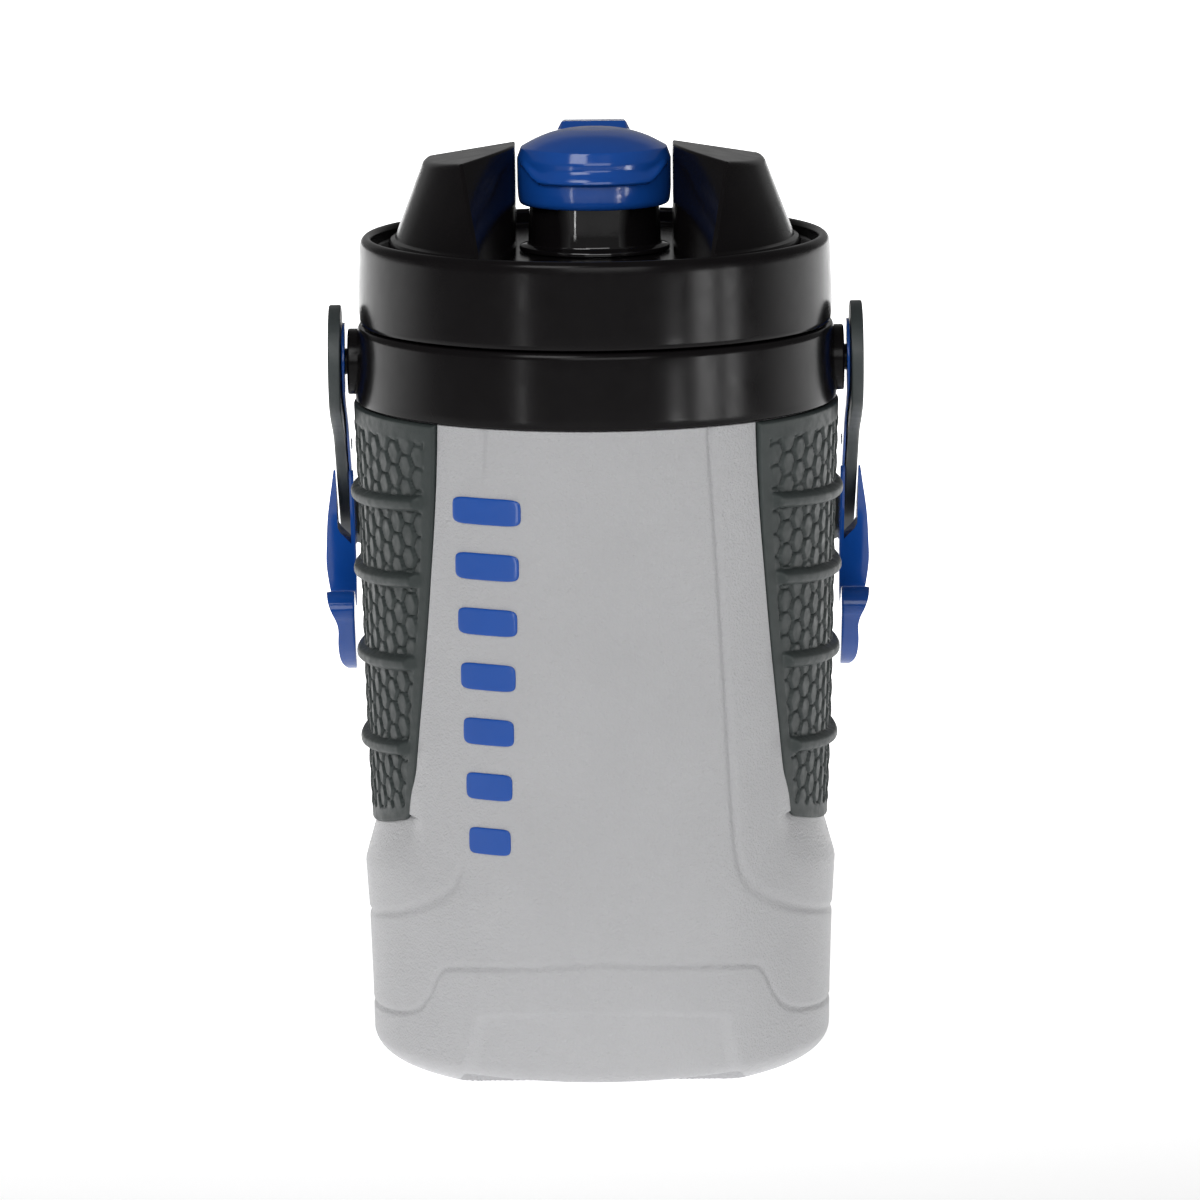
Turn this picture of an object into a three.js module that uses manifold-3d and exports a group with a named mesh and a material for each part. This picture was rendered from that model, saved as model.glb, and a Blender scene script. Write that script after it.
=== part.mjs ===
// Insulated half-gallon water jug with a screw lid, a flip-top spout and a swinging bail handle.
// Millimetres, +Z up. The origin is the middle of the flat underside. -Y is the front, +-X the sides.
// The handle lies in its parked place, leaning back against the body.

import * as THREE from 'three';
import { mergeVertices } from 'three/addons/utils/BufferGeometryUtils.js';
import Module from 'manifold-3d';

const wasm = await Module();
wasm.setup();

// ---------------------------------------------------------------- driving dimensions

const ROUND = 32; // facets round a large turned piece
const SMALL_ROUND = 20; // facets round a small turned piece
const GAP = 0.35; // clearance between pieces that touch on the real jug

// body
const BASE_R = 61; // flat underside
const HEEL_R = 71.4; // where the base rounding ends
const HEEL_Z = 8;
const BULGE_R = 73.4; // widest ring, just below the grips
const BULGE_Z = 61;
const BODY_TOP_R = 73.7;
const BODY_TOP_Z = 205.7;
const WALL = 2.4; // outer shell wall
const NOTCH_RISE = 4.5; // the underside is lifted this much at the front and back
const NOTCH_TOP_Z = 26;
const NOTCH_HALF_LOW = 40.5;
const NOTCH_HALF_HIGH = 36.8;
const NOTCH_DEPTH = 1.4;
const NOTCH_REACH_Y = 48; // the lifted part of the underside starts here
const PLUG_Y = 28; // foam filling hole in the underside
const PLUG_R = 8.6;

// inner liner, the vessel itself
const LINER_R = 57;
const LINER_WALL = 2.2;
const LINER_FLOOR_Z = 17;
const LINER_LIP_Z = 242.3; // underside of the lip that rests on the neck
const LINER_LIP_R = 66.2;
const LINER_LIP_THICK = 2;

// rubber side grips
const GRIP_TOP_Z = 205.4;
const GRIP_LOW_Z = 74;
const GRIP_THICK = 2.4;
const GRIP_PROFILE = [[75, 71.0], [110, 72.4], [173, 73.9], [205.4, 75.0]]; // height, outer radius
const GRIP_HALF_TOP = 48.9; // degrees either side of +-X
const GRIP_HALF_LOW = 34.5;
const GRIP_EDGE_CURVE = 1.6; // above 1, the grip widens most near its foot
const GRIP_LOW_SWEEP = 9; // the lower edge climbs this much towards its corners
const RIB_HEIGHTS = [177.3, 153.2, 127.1, 100]; // at the middle of the grip
const RIB_SWEEP = 4.2;
const RIB_PROUD = 1.9;
const RIB_TALL = 4.7;
const RIB_MARGIN = 3.5; // degrees from the rib's end to the grip's edge

// collar with the threaded neck
const COLLAR_LOW_Z = 206;
const COLLAR_TOP_Z = 229.2;
const COLLAR_R = 74.3;
const NECK_R = 66.6;
const NECK_BORE_R = 63;
const COLLAR_WALL = 2.9; // the collar is hollow from below
const NECK_TOP_Z = 240.5;

// two-start thread between the neck and the lid
const THREAD_STARTS = 2;
const THREAD_LEAD = 12;
const THREAD_LOW_Z = 231.8;
const THREAD_TURN = 0.52; // length of each ridge, in turns
const THREAD_ROOT = 2.4;
const THREAD_CREST = 1.3;
const NECK_CREST_R = 68.4;
const LID_CREST_R = 67.35;

// handle pivots
const PIVOT_Z = 217.4;
const BOSS_R = 10.2;
const BOSS_FACE_X = 76.6;
const PIN_R = 4;
const PIN_HEAD_R = 6.5;
const PIN_TIP_X = 69;

// bail handle, drawn upright in its own frame with the pivots on the X axis
const ARM_OUT_X = 82.3;
const ARM_IN_X = 78.6;
const ARM_HALF_WIDTH = 8;
const ARM_EYE_R = 17.5;
const ARM_NECK_Z = 38; // the arm has its plain width from here on
const BAR_IN_Z = 100.5;
const BAR_OUT_Z = 105.5;
const BAIL_CORNER_R = 15;
const PARKED_TURN = THREE.MathUtils.degToRad(-128);

// fence hooks on the inner faces of the arms
const STRAP_IN_X = 77;
const STRAP_OUT_X = 78.25;
const STRAP_TOP_Z = 86;
const STRAP_EYE_R = 12;
const HOOK_OUT_X = 86.6;
const RIVET_Z = 52;
const RIVET_R = 1.7;

// lid
const SKIRT_LOW_Z = 229.8;
const SKIRT_LOW_R = 73.3;
const RIM_R = 72.2;
const RIM_Z = 256.5;
const RIM_IN_R = 68.8;
const DECK_Z = 251.5;
const DECK_THICK = 2.3;
const SKIRT_BORE_R = 69.3;
const SCALLOP_R = 18.5; // finger scallops over the pivots, concentric with them
const SCALLOP_X = 71.2;
const WING_BASE_R = 63;
const WING_SHOULDER_R = 52.4;
const WING_SHOULDER_Z = 280;
const WING_PEAK_Z = 284.8;
const WING_FALL_Y = 8; // behind this the wings' roofs slope down
const WING_FALL = 14; // degrees
const CHANNEL_HALF = 24.2; // half the gap between the wings beside the cap
const CHANNEL_STRAIGHT = [12, 3]; // where the front flare starts, at the deck and at the shoulder's height
const CHANNEL_STRAIGHT_REAR = 22; // the rear flare starts here at every height
const CHANNEL_MOUTH = [52, 34]; // half the length to the mouths
const CHANNEL_FLARE = [9.5, 15.3]; // how much further each wall stands out at the mouths

// spout
const SPOUT_R = 20;
const SPOUT_BORE_R = 16.5;
const SPOUT_LIP_Z = 274;
const SPOUT_FLANGE_R = 23.2;
const SPOUT_FOOT_Z = 247.6;

// flip cap
const CAP_R = 23.8;
const CAP_LOW_Z = 266;
const CAP_SHOULDER_Z = 283.6;
const CAP_TOP_Z = 289.5;
const CAP_BORE_R = 21.3;
const CAP_CEILING_Z = 279.6;
const HINGE_Y = 33;
const HINGE_Z = 274;
const KNUCKLE_R = 4;
const KNUCKLE_HALF = 12;
const HINGE_PIN_R = 1.5;
const LUG_HALF_OUT = 17;

// ---------------------------------------------------------------- solids

// A closed solid for joining and cutting, from any closed three.js geometry.
function solidOf(geometry) {
  const bare = geometry.index ? geometry.clone() : geometry;
  bare.deleteAttribute('normal');
  bare.deleteAttribute('uv');
  const merged = mergeVertices(bare, 1e-4);
  const place = merged.attributes.position;
  const corner = (i) => new THREE.Vector3().fromBufferAttribute(place, i);
  const triangles = [];
  let volume = 0;
  for (let i = 0; i < merged.index.count; i += 3) {
    const [a, b, c] = [0, 1, 2].map((k) => merged.index.getX(i + k));
    if (a === b || b === c || c === a) continue;
    triangles.push([a, b, c]);
    volume += corner(a).dot(corner(b).cross(corner(c)));
  }
  const facing = volume < 0 ? triangles.map(([a, b, c]) => [a, c, b]) : triangles;
  return new wasm.Manifold(new wasm.Mesh({
    numProp: 3,
    vertProperties: new Float32Array(place.array),
    triVerts: new Uint32Array(facing.flat()),
  }));
}

function geometryOf(solid) {
  const mesh = solid.getMesh();
  const geometry = new THREE.BufferGeometry();
  geometry.setAttribute('position', new THREE.BufferAttribute(mesh.vertProperties, 3));
  geometry.setIndex(new THREE.BufferAttribute(mesh.triVerts, 1));
  geometry.computeVertexNormals();
  return geometry;
}

// A piece turned about Z. The profile is [radius, height] points and closes on itself or on the axis.
function turned(profile, facets = ROUND) {
  const points = profile.map(([r, z]) => new THREE.Vector2(r, z));
  const onAxis = points[0].x === 0 && points.at(-1).x === 0;
  if (!onAxis) points.push(points[0].clone());
  return solidOf(new THREE.LatheGeometry(points, facets).rotateX(Math.PI / 2));
}

function ring(inner, outer, low, high, facets = ROUND) {
  return turned([[inner, low], [outer, low], [outer, high], [inner, high]], facets);
}

function disc(radius, low, high, facets = ROUND) {
  return turned([[0, low], [radius, low], [radius, high], [0, high]], facets);
}

// A rod along X from x0 to x1.
function rodX(radius, x0, x1, y, z, facets = SMALL_ROUND) {
  const rod = new THREE.CylinderGeometry(radius, radius, Math.abs(x1 - x0), facets);
  return solidOf(rod.rotateZ(Math.PI / 2).translate((x0 + x1) / 2, y, z));
}

// A plate with an outline in the YZ plane, from x0 to x1.
function plateX(shape, x0, x1, curveSegments = 6) {
  const options = { depth: Math.abs(x1 - x0), bevelEnabled: false, curveSegments };
  const plate = new THREE.ExtrudeGeometry(shape, options);
  plate.rotateX(Math.PI / 2).rotateZ(Math.PI / 2);
  return solidOf(plate.translate(Math.min(x0, x1), 0, 0));
}

// A plate with an outline in the XZ plane, from y0 to y1.
function plateY(shape, y0, y1, curveSegments = 6) {
  const options = { depth: y1 - y0, bevelEnabled: false, curveSegments };
  return solidOf(new THREE.ExtrudeGeometry(shape, options).rotateX(Math.PI / 2).translate(0, y1, 0));
}

function box(x0, x1, y0, y1, z0, z1) {
  const block = new THREE.BoxGeometry(x1 - x0, y1 - y0, z1 - z0);
  return solidOf(block.translate((x0 + x1) / 2, (y0 + y1) / 2, (z0 + z1) / 2));
}

function outline(points) {
  return new THREE.Shape(points.map(([a, b]) => new THREE.Vector2(a, b)));
}

// A block bent round the Z axis: place(u, v, w), each 0 to 1, gives [angle in degrees, radius, height].
function wrapped(steps, place) {
  const block = new THREE.BoxGeometry(1, 1, 1, ...steps).translate(0.5, 0.5, 0.5);
  const at = block.attributes.position;
  for (let i = 0; i < at.count; i += 1) {
    const [degrees, radius, height] = place(at.getX(i), at.getY(i), at.getZ(i));
    const angle = THREE.MathUtils.degToRad(degrees);
    at.setXYZ(i, radius * Math.cos(angle), radius * Math.sin(angle), height);
  }
  return solidOf(block);
}

const lerp = THREE.MathUtils.lerp;

// Straight lines between [place, value] pairs, held level beyond both ends.
function between(pairs, at) {
  const next = pairs.findIndex(([place]) => place > at);
  if (next === 0) return pairs[0][1];
  if (next < 0) return pairs.at(-1)[1];
  const [[a, va], [b, vb]] = [pairs[next - 1], pairs[next]];
  return lerp(va, vb, (at - a) / (b - a));
}

// ---------------------------------------------------------------- materials

const colours = {
  shell: { color: 0xbcbdc1, roughness: 0.42, metalness: 0 },
  liner: { color: 0xe4e4e0, roughness: 0.4, metalness: 0 },
  foam: { color: 0xd9c894, roughness: 0.9, metalness: 0 },
  grip: { color: 0x4a5352, roughness: 0.7, metalness: 0 },
  gloss: { color: 0x161617, roughness: 0.15, metalness: 0 },
  handle: { color: 0x454c4d, roughness: 0.45, metalness: 0 },
  blue: { color: 0x1f459b, roughness: 0.18, metalness: 0 },
  silicone: { color: 0xdcdedc, roughness: 0.55, metalness: 0 },
  steel: { color: 0xb5b8bb, roughness: 0.25, metalness: 1 },
};

const jug = new THREE.Group();

function piece(name, solid, colour, parent = jug) {
  const material = new THREE.MeshStandardMaterial(colours[colour]);
  const mesh = new THREE.Mesh(geometryOf(solid), material);
  mesh.name = name;
  parent.add(mesh);
  return mesh;
}

// ---------------------------------------------------------------- body

const gripRadius = (z) => between(GRIP_PROFILE, z);

function gripHalf(z) {
  const fromTop = THREE.MathUtils.clamp((GRIP_TOP_Z - z) / (GRIP_TOP_Z - GRIP_LOW_Z), 0, 1);
  return GRIP_HALF_TOP - (GRIP_HALF_TOP - GRIP_HALF_LOW) * fromTop ** GRIP_EDGE_CURVE;
}

// The grip's own patch of cylinder, grown by a margin, between two radii given by height.
function gripPatch(margin, low, high, innerRadius, outerRadius) {
  return wrapped([8, 1, 4], (u, v, w) => {
    const side = u * 2 - 1;
    const foot = low + GRIP_LOW_SWEEP * Math.abs(side) ** 1.6;
    const z = lerp(foot, high, w);
    const marginDegrees = THREE.MathUtils.radToDeg(margin / gripRadius(z));
    return [side * (gripHalf(z) + marginDegrees), lerp(innerRadius(z), outerRadius(z), v), z];
  });
}

const RECESS_GAP = GRIP_THICK + GAP; // from the grip's face to the floor of its recess
const FAR_R = 95; // beyond every wall, for cutters

// The channel that a grip lies in, with a ramp out to the full body below it.
function gripChannel(inset) {
  const floor = (z) => gripRadius(z) - RECESS_GAP - inset;
  const ramp = (z) => lerp(BULGE_R + GAP - inset, floor(GRIP_LOW_Z), (z - BULGE_Z) / (GRIP_LOW_Z - BULGE_Z));
  const margin = GAP + 0.2 + inset;
  const channel = gripPatch(margin, GRIP_LOW_Z - GAP - inset, BODY_TOP_Z + 0.5 + inset, floor, () => FAR_R);
  const slopeHalf = GRIP_HALF_LOW + 0.6 + THREE.MathUtils.radToDeg(margin / BULGE_R);
  const slope = wrapped([8, 1, 2], (u, v, w) => {
    const side = u * 2 - 1;
    const top = GRIP_LOW_Z + GRIP_LOW_SWEEP * Math.abs(side) ** 1.6;
    const z = lerp(BULGE_Z - inset, top, w);
    return [side * slopeHalf, lerp(ramp(Math.min(z, GRIP_LOW_Z)), FAR_R, v), z];
  });
  return channel.add(slope);
}

function bothSides(build) {
  const right = build();
  return right.add(right.rotate([0, 0, 180]));
}

const FOOT_STEP_R = 44; // inside this radius the floor is one wall thick
const FOOT_STEP_Z = NOTCH_RISE + WALL + 0.5;

function shellOutside() {
  const heel = new THREE.EllipseCurve(BASE_R, HEEL_Z, HEEL_R - BASE_R, HEEL_Z, -Math.PI / 2, 0);
  const heelPoints = heel.getPoints(4).map(({ x, y }) => [x, Math.max(y, 0)]);
  return turned([
    [0, 0], ...heelPoints, [71.6, 21], [72.4, 45], [BULGE_R, BULGE_Z],
    [BODY_TOP_R, BODY_TOP_Z], [0, BODY_TOP_Z],
  ]);
}

// The hollow of the shell, drawn in by an inset for the foam that fills it.
function shellHollow(inset, top) {
  const floor = WALL + inset;
  const step = FOOT_STEP_Z + inset;
  const hollow = turned([
    [0, floor], [FOOT_STEP_R - inset, floor], [FOOT_STEP_R + 4 - inset, step], [64 - inset, step],
    [HEEL_R - WALL - inset, 16], [BULGE_R - WALL - inset, BULGE_Z], [BODY_TOP_R - WALL - inset, top],
    [0, top],
  ]);
  return hollow.subtract(bothSides(() => gripChannel(WALL + inset)));
}

// Lifted underside and shallow panel at the front or back.
function baseNotch() {
  const lift = outline([
    [-NOTCH_HALF_LOW - 4, -1], [NOTCH_HALF_LOW + 4, -1], [NOTCH_HALF_LOW, NOTCH_RISE],
    [-NOTCH_HALF_LOW, NOTCH_RISE],
  ]);
  const panel = outline([
    [-NOTCH_HALF_LOW, NOTCH_RISE - 1], [NOTCH_HALF_LOW, NOTCH_RISE - 1],
    [NOTCH_HALF_HIGH, NOTCH_TOP_Z], [-NOTCH_HALF_HIGH, NOTCH_TOP_Z],
  ]);
  const core = disc(HEEL_R - NOTCH_DEPTH, -1, NOTCH_TOP_Z + 1);
  const front = plateY(lift, -FAR_R, -NOTCH_REACH_Y)
    .add(plateY(panel, -FAR_R, -NOTCH_REACH_Y).subtract(core));
  return front.add(front.rotate([0, 0, 180]));
}

function outerShell() {
  const plugHole = disc(PLUG_R + GAP, -1, FOOT_STEP_Z, SMALL_ROUND).translate([0, PLUG_Y, 0]);
  return shellOutside()
    .subtract(bothSides(() => gripChannel(0)))
    .subtract(shellHollow(0, BODY_TOP_Z + 1))
    .subtract(baseNotch())
    .subtract(plugHole);
}

function innerLiner() {
  const outside = LINER_R + LINER_WALL;
  const lipTop = LINER_LIP_Z + LINER_LIP_THICK;
  return turned([
    [0, LINER_FLOOR_Z - LINER_WALL], [outside - 8, LINER_FLOOR_Z - LINER_WALL], [outside - 2, LINER_FLOOR_Z],
    [outside, LINER_FLOOR_Z + 6], [outside, LINER_LIP_Z], [LINER_LIP_R, LINER_LIP_Z], [LINER_LIP_R, lipTop],
    [LINER_R, lipTop], [LINER_R, LINER_FLOOR_Z + 7], [LINER_R - 7, LINER_FLOOR_Z], [0, LINER_FLOOR_Z],
  ]);
}

const FOAM_TOP_Z = 198;

function foamInsulation() {
  const vessel = turned([
    [0, LINER_FLOOR_Z - LINER_WALL - GAP], [LINER_R + LINER_WALL - 6, LINER_FLOOR_Z - LINER_WALL - GAP],
    [LINER_R + LINER_WALL + GAP, LINER_FLOOR_Z], [LINER_R + LINER_WALL + GAP, FOAM_TOP_Z + 5],
    [0, FOAM_TOP_Z + 5],
  ]);
  return shellHollow(GAP, FOAM_TOP_Z).subtract(vessel);
}

function foamFillPlug() {
  return disc(PLUG_R, 0.4, WALL, SMALL_ROUND);
}

function grip() {
  const face = gripPatch(0, GRIP_LOW_Z, GRIP_TOP_Z, (z) => gripRadius(z) - GRIP_THICK, gripRadius);
  const ribs = RIB_HEIGHTS.map((height) => wrapped([8, 1, 2], (u, v, w) => {
    const side = u * 2 - 1;
    const z = height + RIB_SWEEP * Math.abs(side) ** 1.5;
    const outer = gripRadius(z) + (w === 0 || w === 1 || u === 0 || u === 1 ? 0.1 : RIB_PROUD);
    return [side * (gripHalf(z) - RIB_MARGIN), v ? outer : gripRadius(z) - 1, z + (w - 0.5) * RIB_TALL];
  }));
  return ribs.reduce((whole, rib) => whole.add(rib), face);
}

piece('outer_shell', outerShell(), 'shell');
piece('inner_liner', innerLiner(), 'liner');
piece('foam_insulation', foamInsulation(), 'foam');
piece('foam_fill_plug', foamFillPlug(), 'shell').position.y = PLUG_Y;
piece('grip_right', grip(), 'grip');
piece('grip_left', grip(), 'grip').rotation.z = Math.PI;

// ---------------------------------------------------------------- collar

// One helical ridge between a root and a crest radius. A positive shift sets it higher and starts it sooner.
function threadRidge(root, crest, shift, start) {
  const skipped = -shift / THREAD_LEAD; // turns left out, so that every ridge stays above its lowest place
  return wrapped([16, 1, 1], (u, v, w) => {
    const turns = skipped + u * THREAD_TURN;
    const z = THREAD_LOW_Z + shift + turns * THREAD_LEAD;
    const fade = Math.min(1, u * 8, (1 - u) * 8);
    const width = v ? THREAD_CREST * Math.max(fade, 0.4) : THREAD_ROOT;
    const radius = v ? lerp(root, crest, 0.15 + 0.85 * fade) : root + Math.sign(root - crest) * 1.2;
    return [360 * (turns + start / THREAD_STARTS), radius, z + (w - 0.5) * width];
  });
}

function withThread(body, root, crest, shift) {
  const starts = [...Array(THREAD_STARTS).keys()];
  return starts.reduce((whole, start) => whole.add(threadRidge(root, crest, shift, start)), body);
}

const COLLAR_SKIRT_Z = 199; // the inner wall of the collar reaches down into the shell's mouth

function collarRing() {
  const turnedCollar = turned([
    [NECK_BORE_R, COLLAR_SKIRT_Z], [NECK_R - 0.6, COLLAR_SKIRT_Z], [NECK_R - 0.6, COLLAR_TOP_Z - COLLAR_WALL],
    [COLLAR_R - COLLAR_WALL, COLLAR_TOP_Z - COLLAR_WALL], [COLLAR_R - COLLAR_WALL, COLLAR_LOW_Z],
    [COLLAR_R, COLLAR_LOW_Z],
    [COLLAR_R + 0.2, COLLAR_LOW_Z + 2], [COLLAR_R - 0.6, COLLAR_TOP_Z - 1], [COLLAR_R - 1.4, COLLAR_TOP_Z],
    [NECK_R, COLLAR_TOP_Z], [NECK_R, NECK_TOP_Z], [NECK_BORE_R, NECK_TOP_Z],
  ]);
  const threaded = withThread(turnedCollar, NECK_R, NECK_CREST_R, 0);
  return [1, -1].reduce((whole, side) => whole
    .add(rodX(BOSS_R, side * 70, side * BOSS_FACE_X, 0, PIVOT_Z))
    .subtract(rodX(PIN_R + 0.3, side * (PIN_TIP_X - GAP), side * 80, 0, PIVOT_Z)), threaded);
}

function collarSeal() {
  return ring(NECK_BORE_R + 0.5, LINER_LIP_R - 0.7, NECK_TOP_Z + GAP, LINER_LIP_Z - GAP);
}

// Stepped pin with a flush head, along +X.
function pivotPin() {
  const head = rodX(PIN_HEAD_R, ARM_OUT_X - 1.6, ARM_OUT_X - 0.1, 0, 0);
  return rodX(PIN_R, PIN_TIP_X, ARM_OUT_X - 1.5, 0, 0).add(head);
}

piece('collar_ring', collarRing(), 'gloss');
piece('collar_seal', collarSeal(), 'silicone');
piece('pivot_pin_right', pivotPin(), 'gloss').position.z = PIVOT_Z;
const leftPin = piece('pivot_pin_left', pivotPin(), 'gloss');
leftPin.position.z = PIVOT_Z;
leftPin.rotation.z = Math.PI;

// ---------------------------------------------------------------- lid

// Half the gap between the wings at a place along it. It flares to its mouths, and more so higher up.
function channelHalf(y, z) {
  const climb = (z - DECK_Z) / (WING_SHOULDER_Z - DECK_Z);
  const straight = y > 0 ? CHANNEL_STRAIGHT_REAR : lerp(...CHANNEL_STRAIGHT, climb);
  const along = Math.max(Math.abs(y) - straight, 0) / (lerp(...CHANNEL_MOUTH, climb) - straight);
  return CHANNEL_HALF + lerp(...CHANNEL_FLARE, climb) * along ** 1.5;
}

function channel(inset) {
  const gap = new THREE.BoxGeometry(2, 2, 1, 1, 20, 3).translate(0, 0, 0.5);
  const at = gap.attributes.position;
  for (let i = 0; i < at.count; i += 1) {
    const y = at.getY(i) * (WING_BASE_R + 3);
    const z = lerp(DECK_Z - 5, WING_PEAK_Z + 1, at.getZ(i));
    at.setXYZ(i, at.getX(i) * (channelHalf(y, z) + inset), y, z);
  }
  return solidOf(gap);
}

// Both wings as one cone with a ridge-shaped top, cut by the channel. Inset gives the hollow underneath.
function wings(inset, low) {
  const cone = turned([
    [0, low], [WING_BASE_R - inset, low], [WING_BASE_R - inset, DECK_Z],
    [WING_BASE_R - 1.5 - inset, DECK_Z + 4], [WING_SHOULDER_R + 0.8 - inset, WING_SHOULDER_Z - 2 - inset],
    [WING_SHOULDER_R - 1.5 - inset, WING_SHOULDER_Z - inset / 2], [0, WING_PEAK_Z + 4],
  ]);
  const roof = plateY(outline([
    [-FAR_R, 0], [FAR_R, 0], [FAR_R, WING_SHOULDER_Z - 6 - inset], [WING_SHOULDER_R, WING_SHOULDER_Z - inset],
    [23, WING_PEAK_Z - inset], [-23, WING_PEAK_Z - inset], [-WING_SHOULDER_R, WING_SHOULDER_Z - inset],
    [-FAR_R, WING_SHOULDER_Z - 6 - inset],
  ]), -FAR_R, FAR_R);
  const fall = roof.translate([0, -WING_FALL_Y, -WING_PEAK_Z]).rotate([-WING_FALL, 0, 0])
    .translate([0, WING_FALL_Y, WING_PEAK_Z]);
  return cone.intersect(roof).intersect(fall).subtract(channel(inset));
}

// A lug either side of the knuckle, standing on the deck behind the spout.
function hingeLugs() {
  const side = new THREE.Shape();
  side.moveTo(HINGE_Y - 6, DECK_Z - 1);
  side.lineTo(HINGE_Y + 8, DECK_Z - 1);
  side.lineTo(HINGE_Y + KNUCKLE_R, HINGE_Z);
  side.absarc(HINGE_Y, HINGE_Z, KNUCKLE_R, 0, Math.PI, false);
  const inner = KNUCKLE_HALF + GAP;
  const pair = plateX(side, inner, LUG_HALF_OUT).add(plateX(side, -LUG_HALF_OUT, -inner));
  return pair.subtract(rodX(HINGE_PIN_R + 0.25, -LUG_HALF_OUT - 1, LUG_HALF_OUT + 1, HINGE_Y, HINGE_Z, 16));
}

function lidShell() {
  const deckLow = DECK_Z - DECK_THICK;
  const cover = turned([
    [SPOUT_R + GAP, deckLow], [SKIRT_BORE_R - 1.5, deckLow], [SKIRT_BORE_R, deckLow - 1.5],
    [SKIRT_BORE_R, SKIRT_LOW_Z],
    [SKIRT_LOW_R - 0.6, SKIRT_LOW_Z], [SKIRT_LOW_R, SKIRT_LOW_Z + 1], [RIM_R + 0.3, RIM_Z - 3],
    [RIM_R, RIM_Z - 1.2],
    [RIM_R - 1.2, RIM_Z], [RIM_IN_R + 0.8, RIM_Z], [RIM_IN_R, RIM_Z - 1], [RIM_IN_R, DECK_Z],
    [SPOUT_R + GAP, DECK_Z],
  ]);
  const scallop = (side) => rodX(SCALLOP_R, side * SCALLOP_X, side * FAR_R, 0, PIVOT_Z);
  return withThread(cover, SKIRT_BORE_R, LID_CREST_R, -THREAD_LEAD / 4)
    .add(wings(0, deckLow + 1))
    .subtract(wings(DECK_THICK, deckLow - 1))
    .add(hingeLugs())
    .subtract(scallop(1))
    .subtract(scallop(-1));
}

const PLATE_FLANGE_Z = 247; // underside of the flange that holds the gasket down
const PLATE_CUP_R = 55.6;
const CHIMNEY_R = 18.5;
const CHIMNEY_BORE_R = 16;
const CHIMNEY_TOP_Z = 245.4;
const PLATE_LOW_Z = 236;

function lidInnerPlate() {
  const wall = 1.8;
  return turned([
    [CHIMNEY_BORE_R, PLATE_LOW_Z], [PLATE_CUP_R - 1.5, PLATE_LOW_Z], [PLATE_CUP_R, PLATE_LOW_Z + 1.5],
    [PLATE_CUP_R, PLATE_FLANGE_Z], [67.6, PLATE_FLANGE_Z], [67.6, PLATE_FLANGE_Z + wall],
    [PLATE_CUP_R - wall, PLATE_FLANGE_Z + wall], [PLATE_CUP_R - wall, PLATE_LOW_Z + wall],
    [CHIMNEY_R, PLATE_LOW_Z + wall], [CHIMNEY_R, CHIMNEY_TOP_Z], [CHIMNEY_BORE_R, CHIMNEY_TOP_Z],
  ]);
}

function lidFoam() {
  const low = PLATE_LOW_Z + 1.8 + GAP;
  const high = DECK_Z - DECK_THICK - GAP;
  return turned([
    [CHIMNEY_R + GAP, low], [PLATE_CUP_R - 1.8 - GAP, low], [PLATE_CUP_R - 1.8 - GAP, high],
    [SPOUT_FLANGE_R + 1, high], [SPOUT_FLANGE_R + 1, 244.5], [CHIMNEY_R + GAP, 244.5],
  ]);
}

// Lip seal: a flat ring with a rounded bead that meets the liner's lip.
function lidGasket() {
  const low = LINER_LIP_Z + LINER_LIP_THICK + GAP;
  return turned([
    [61, low], [63.4, low], [66.4, low + 0.8], [66.4, PLATE_FLANGE_Z - GAP],
    [PLATE_CUP_R + 1.2, PLATE_FLANGE_Z - GAP], [PLATE_CUP_R + 1.2, low + 0.8],
  ]);
}

function spoutTube() {
  return turned([
    [SPOUT_BORE_R, SPOUT_FOOT_Z], [SPOUT_R, SPOUT_FOOT_Z], [SPOUT_R, DECK_Z + GAP],
    [SPOUT_FLANGE_R, DECK_Z + GAP],
    [SPOUT_FLANGE_R, DECK_Z + 1.6], [SPOUT_R + 0.5, DECK_Z + 2.4], [SPOUT_R - 0.3, SPOUT_LIP_Z - 1.5],
    [SPOUT_R - 1.3, SPOUT_LIP_Z], [SPOUT_BORE_R + 0.8, SPOUT_LIP_Z], [SPOUT_BORE_R, SPOUT_LIP_Z - 0.8],
  ], SMALL_ROUND);
}

function spoutGasket() {
  return ring(SPOUT_BORE_R + 0.2, SPOUT_R - 0.3, CHIMNEY_TOP_Z + GAP, SPOUT_FOOT_Z - GAP, SMALL_ROUND);
}

piece('lid_shell', lidShell(), 'gloss');
piece('lid_inner_plate', lidInnerPlate(), 'liner');
piece('lid_foam', lidFoam(), 'foam');
piece('lid_gasket', lidGasket(), 'silicone');
piece('spout_tube', spoutTube(), 'gloss');
piece('spout_gasket', spoutGasket(), 'silicone');
piece('cap_hinge_pin', rodX(HINGE_PIN_R, -LUG_HALF_OUT + 0.3, LUG_HALF_OUT - 0.3, HINGE_Y, HINGE_Z, 16),
  'steel');

// ---------------------------------------------------------------- flip cap

// The cap's skirt is cut away behind, so that it clears the spout as the cap swings open.
function capRearCut() {
  const rear = outline([[-3, CAP_LOW_Z - 5], [40, CAP_LOW_Z - 5], [40, 284], [25, 282], [-3, CAP_LOW_Z]]);
  return plateX(rear, -FAR_R, FAR_R).subtract(rodX(KNUCKLE_R, -KNUCKLE_HALF, KNUCKLE_HALF, HINGE_Y, HINGE_Z));
}

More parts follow.
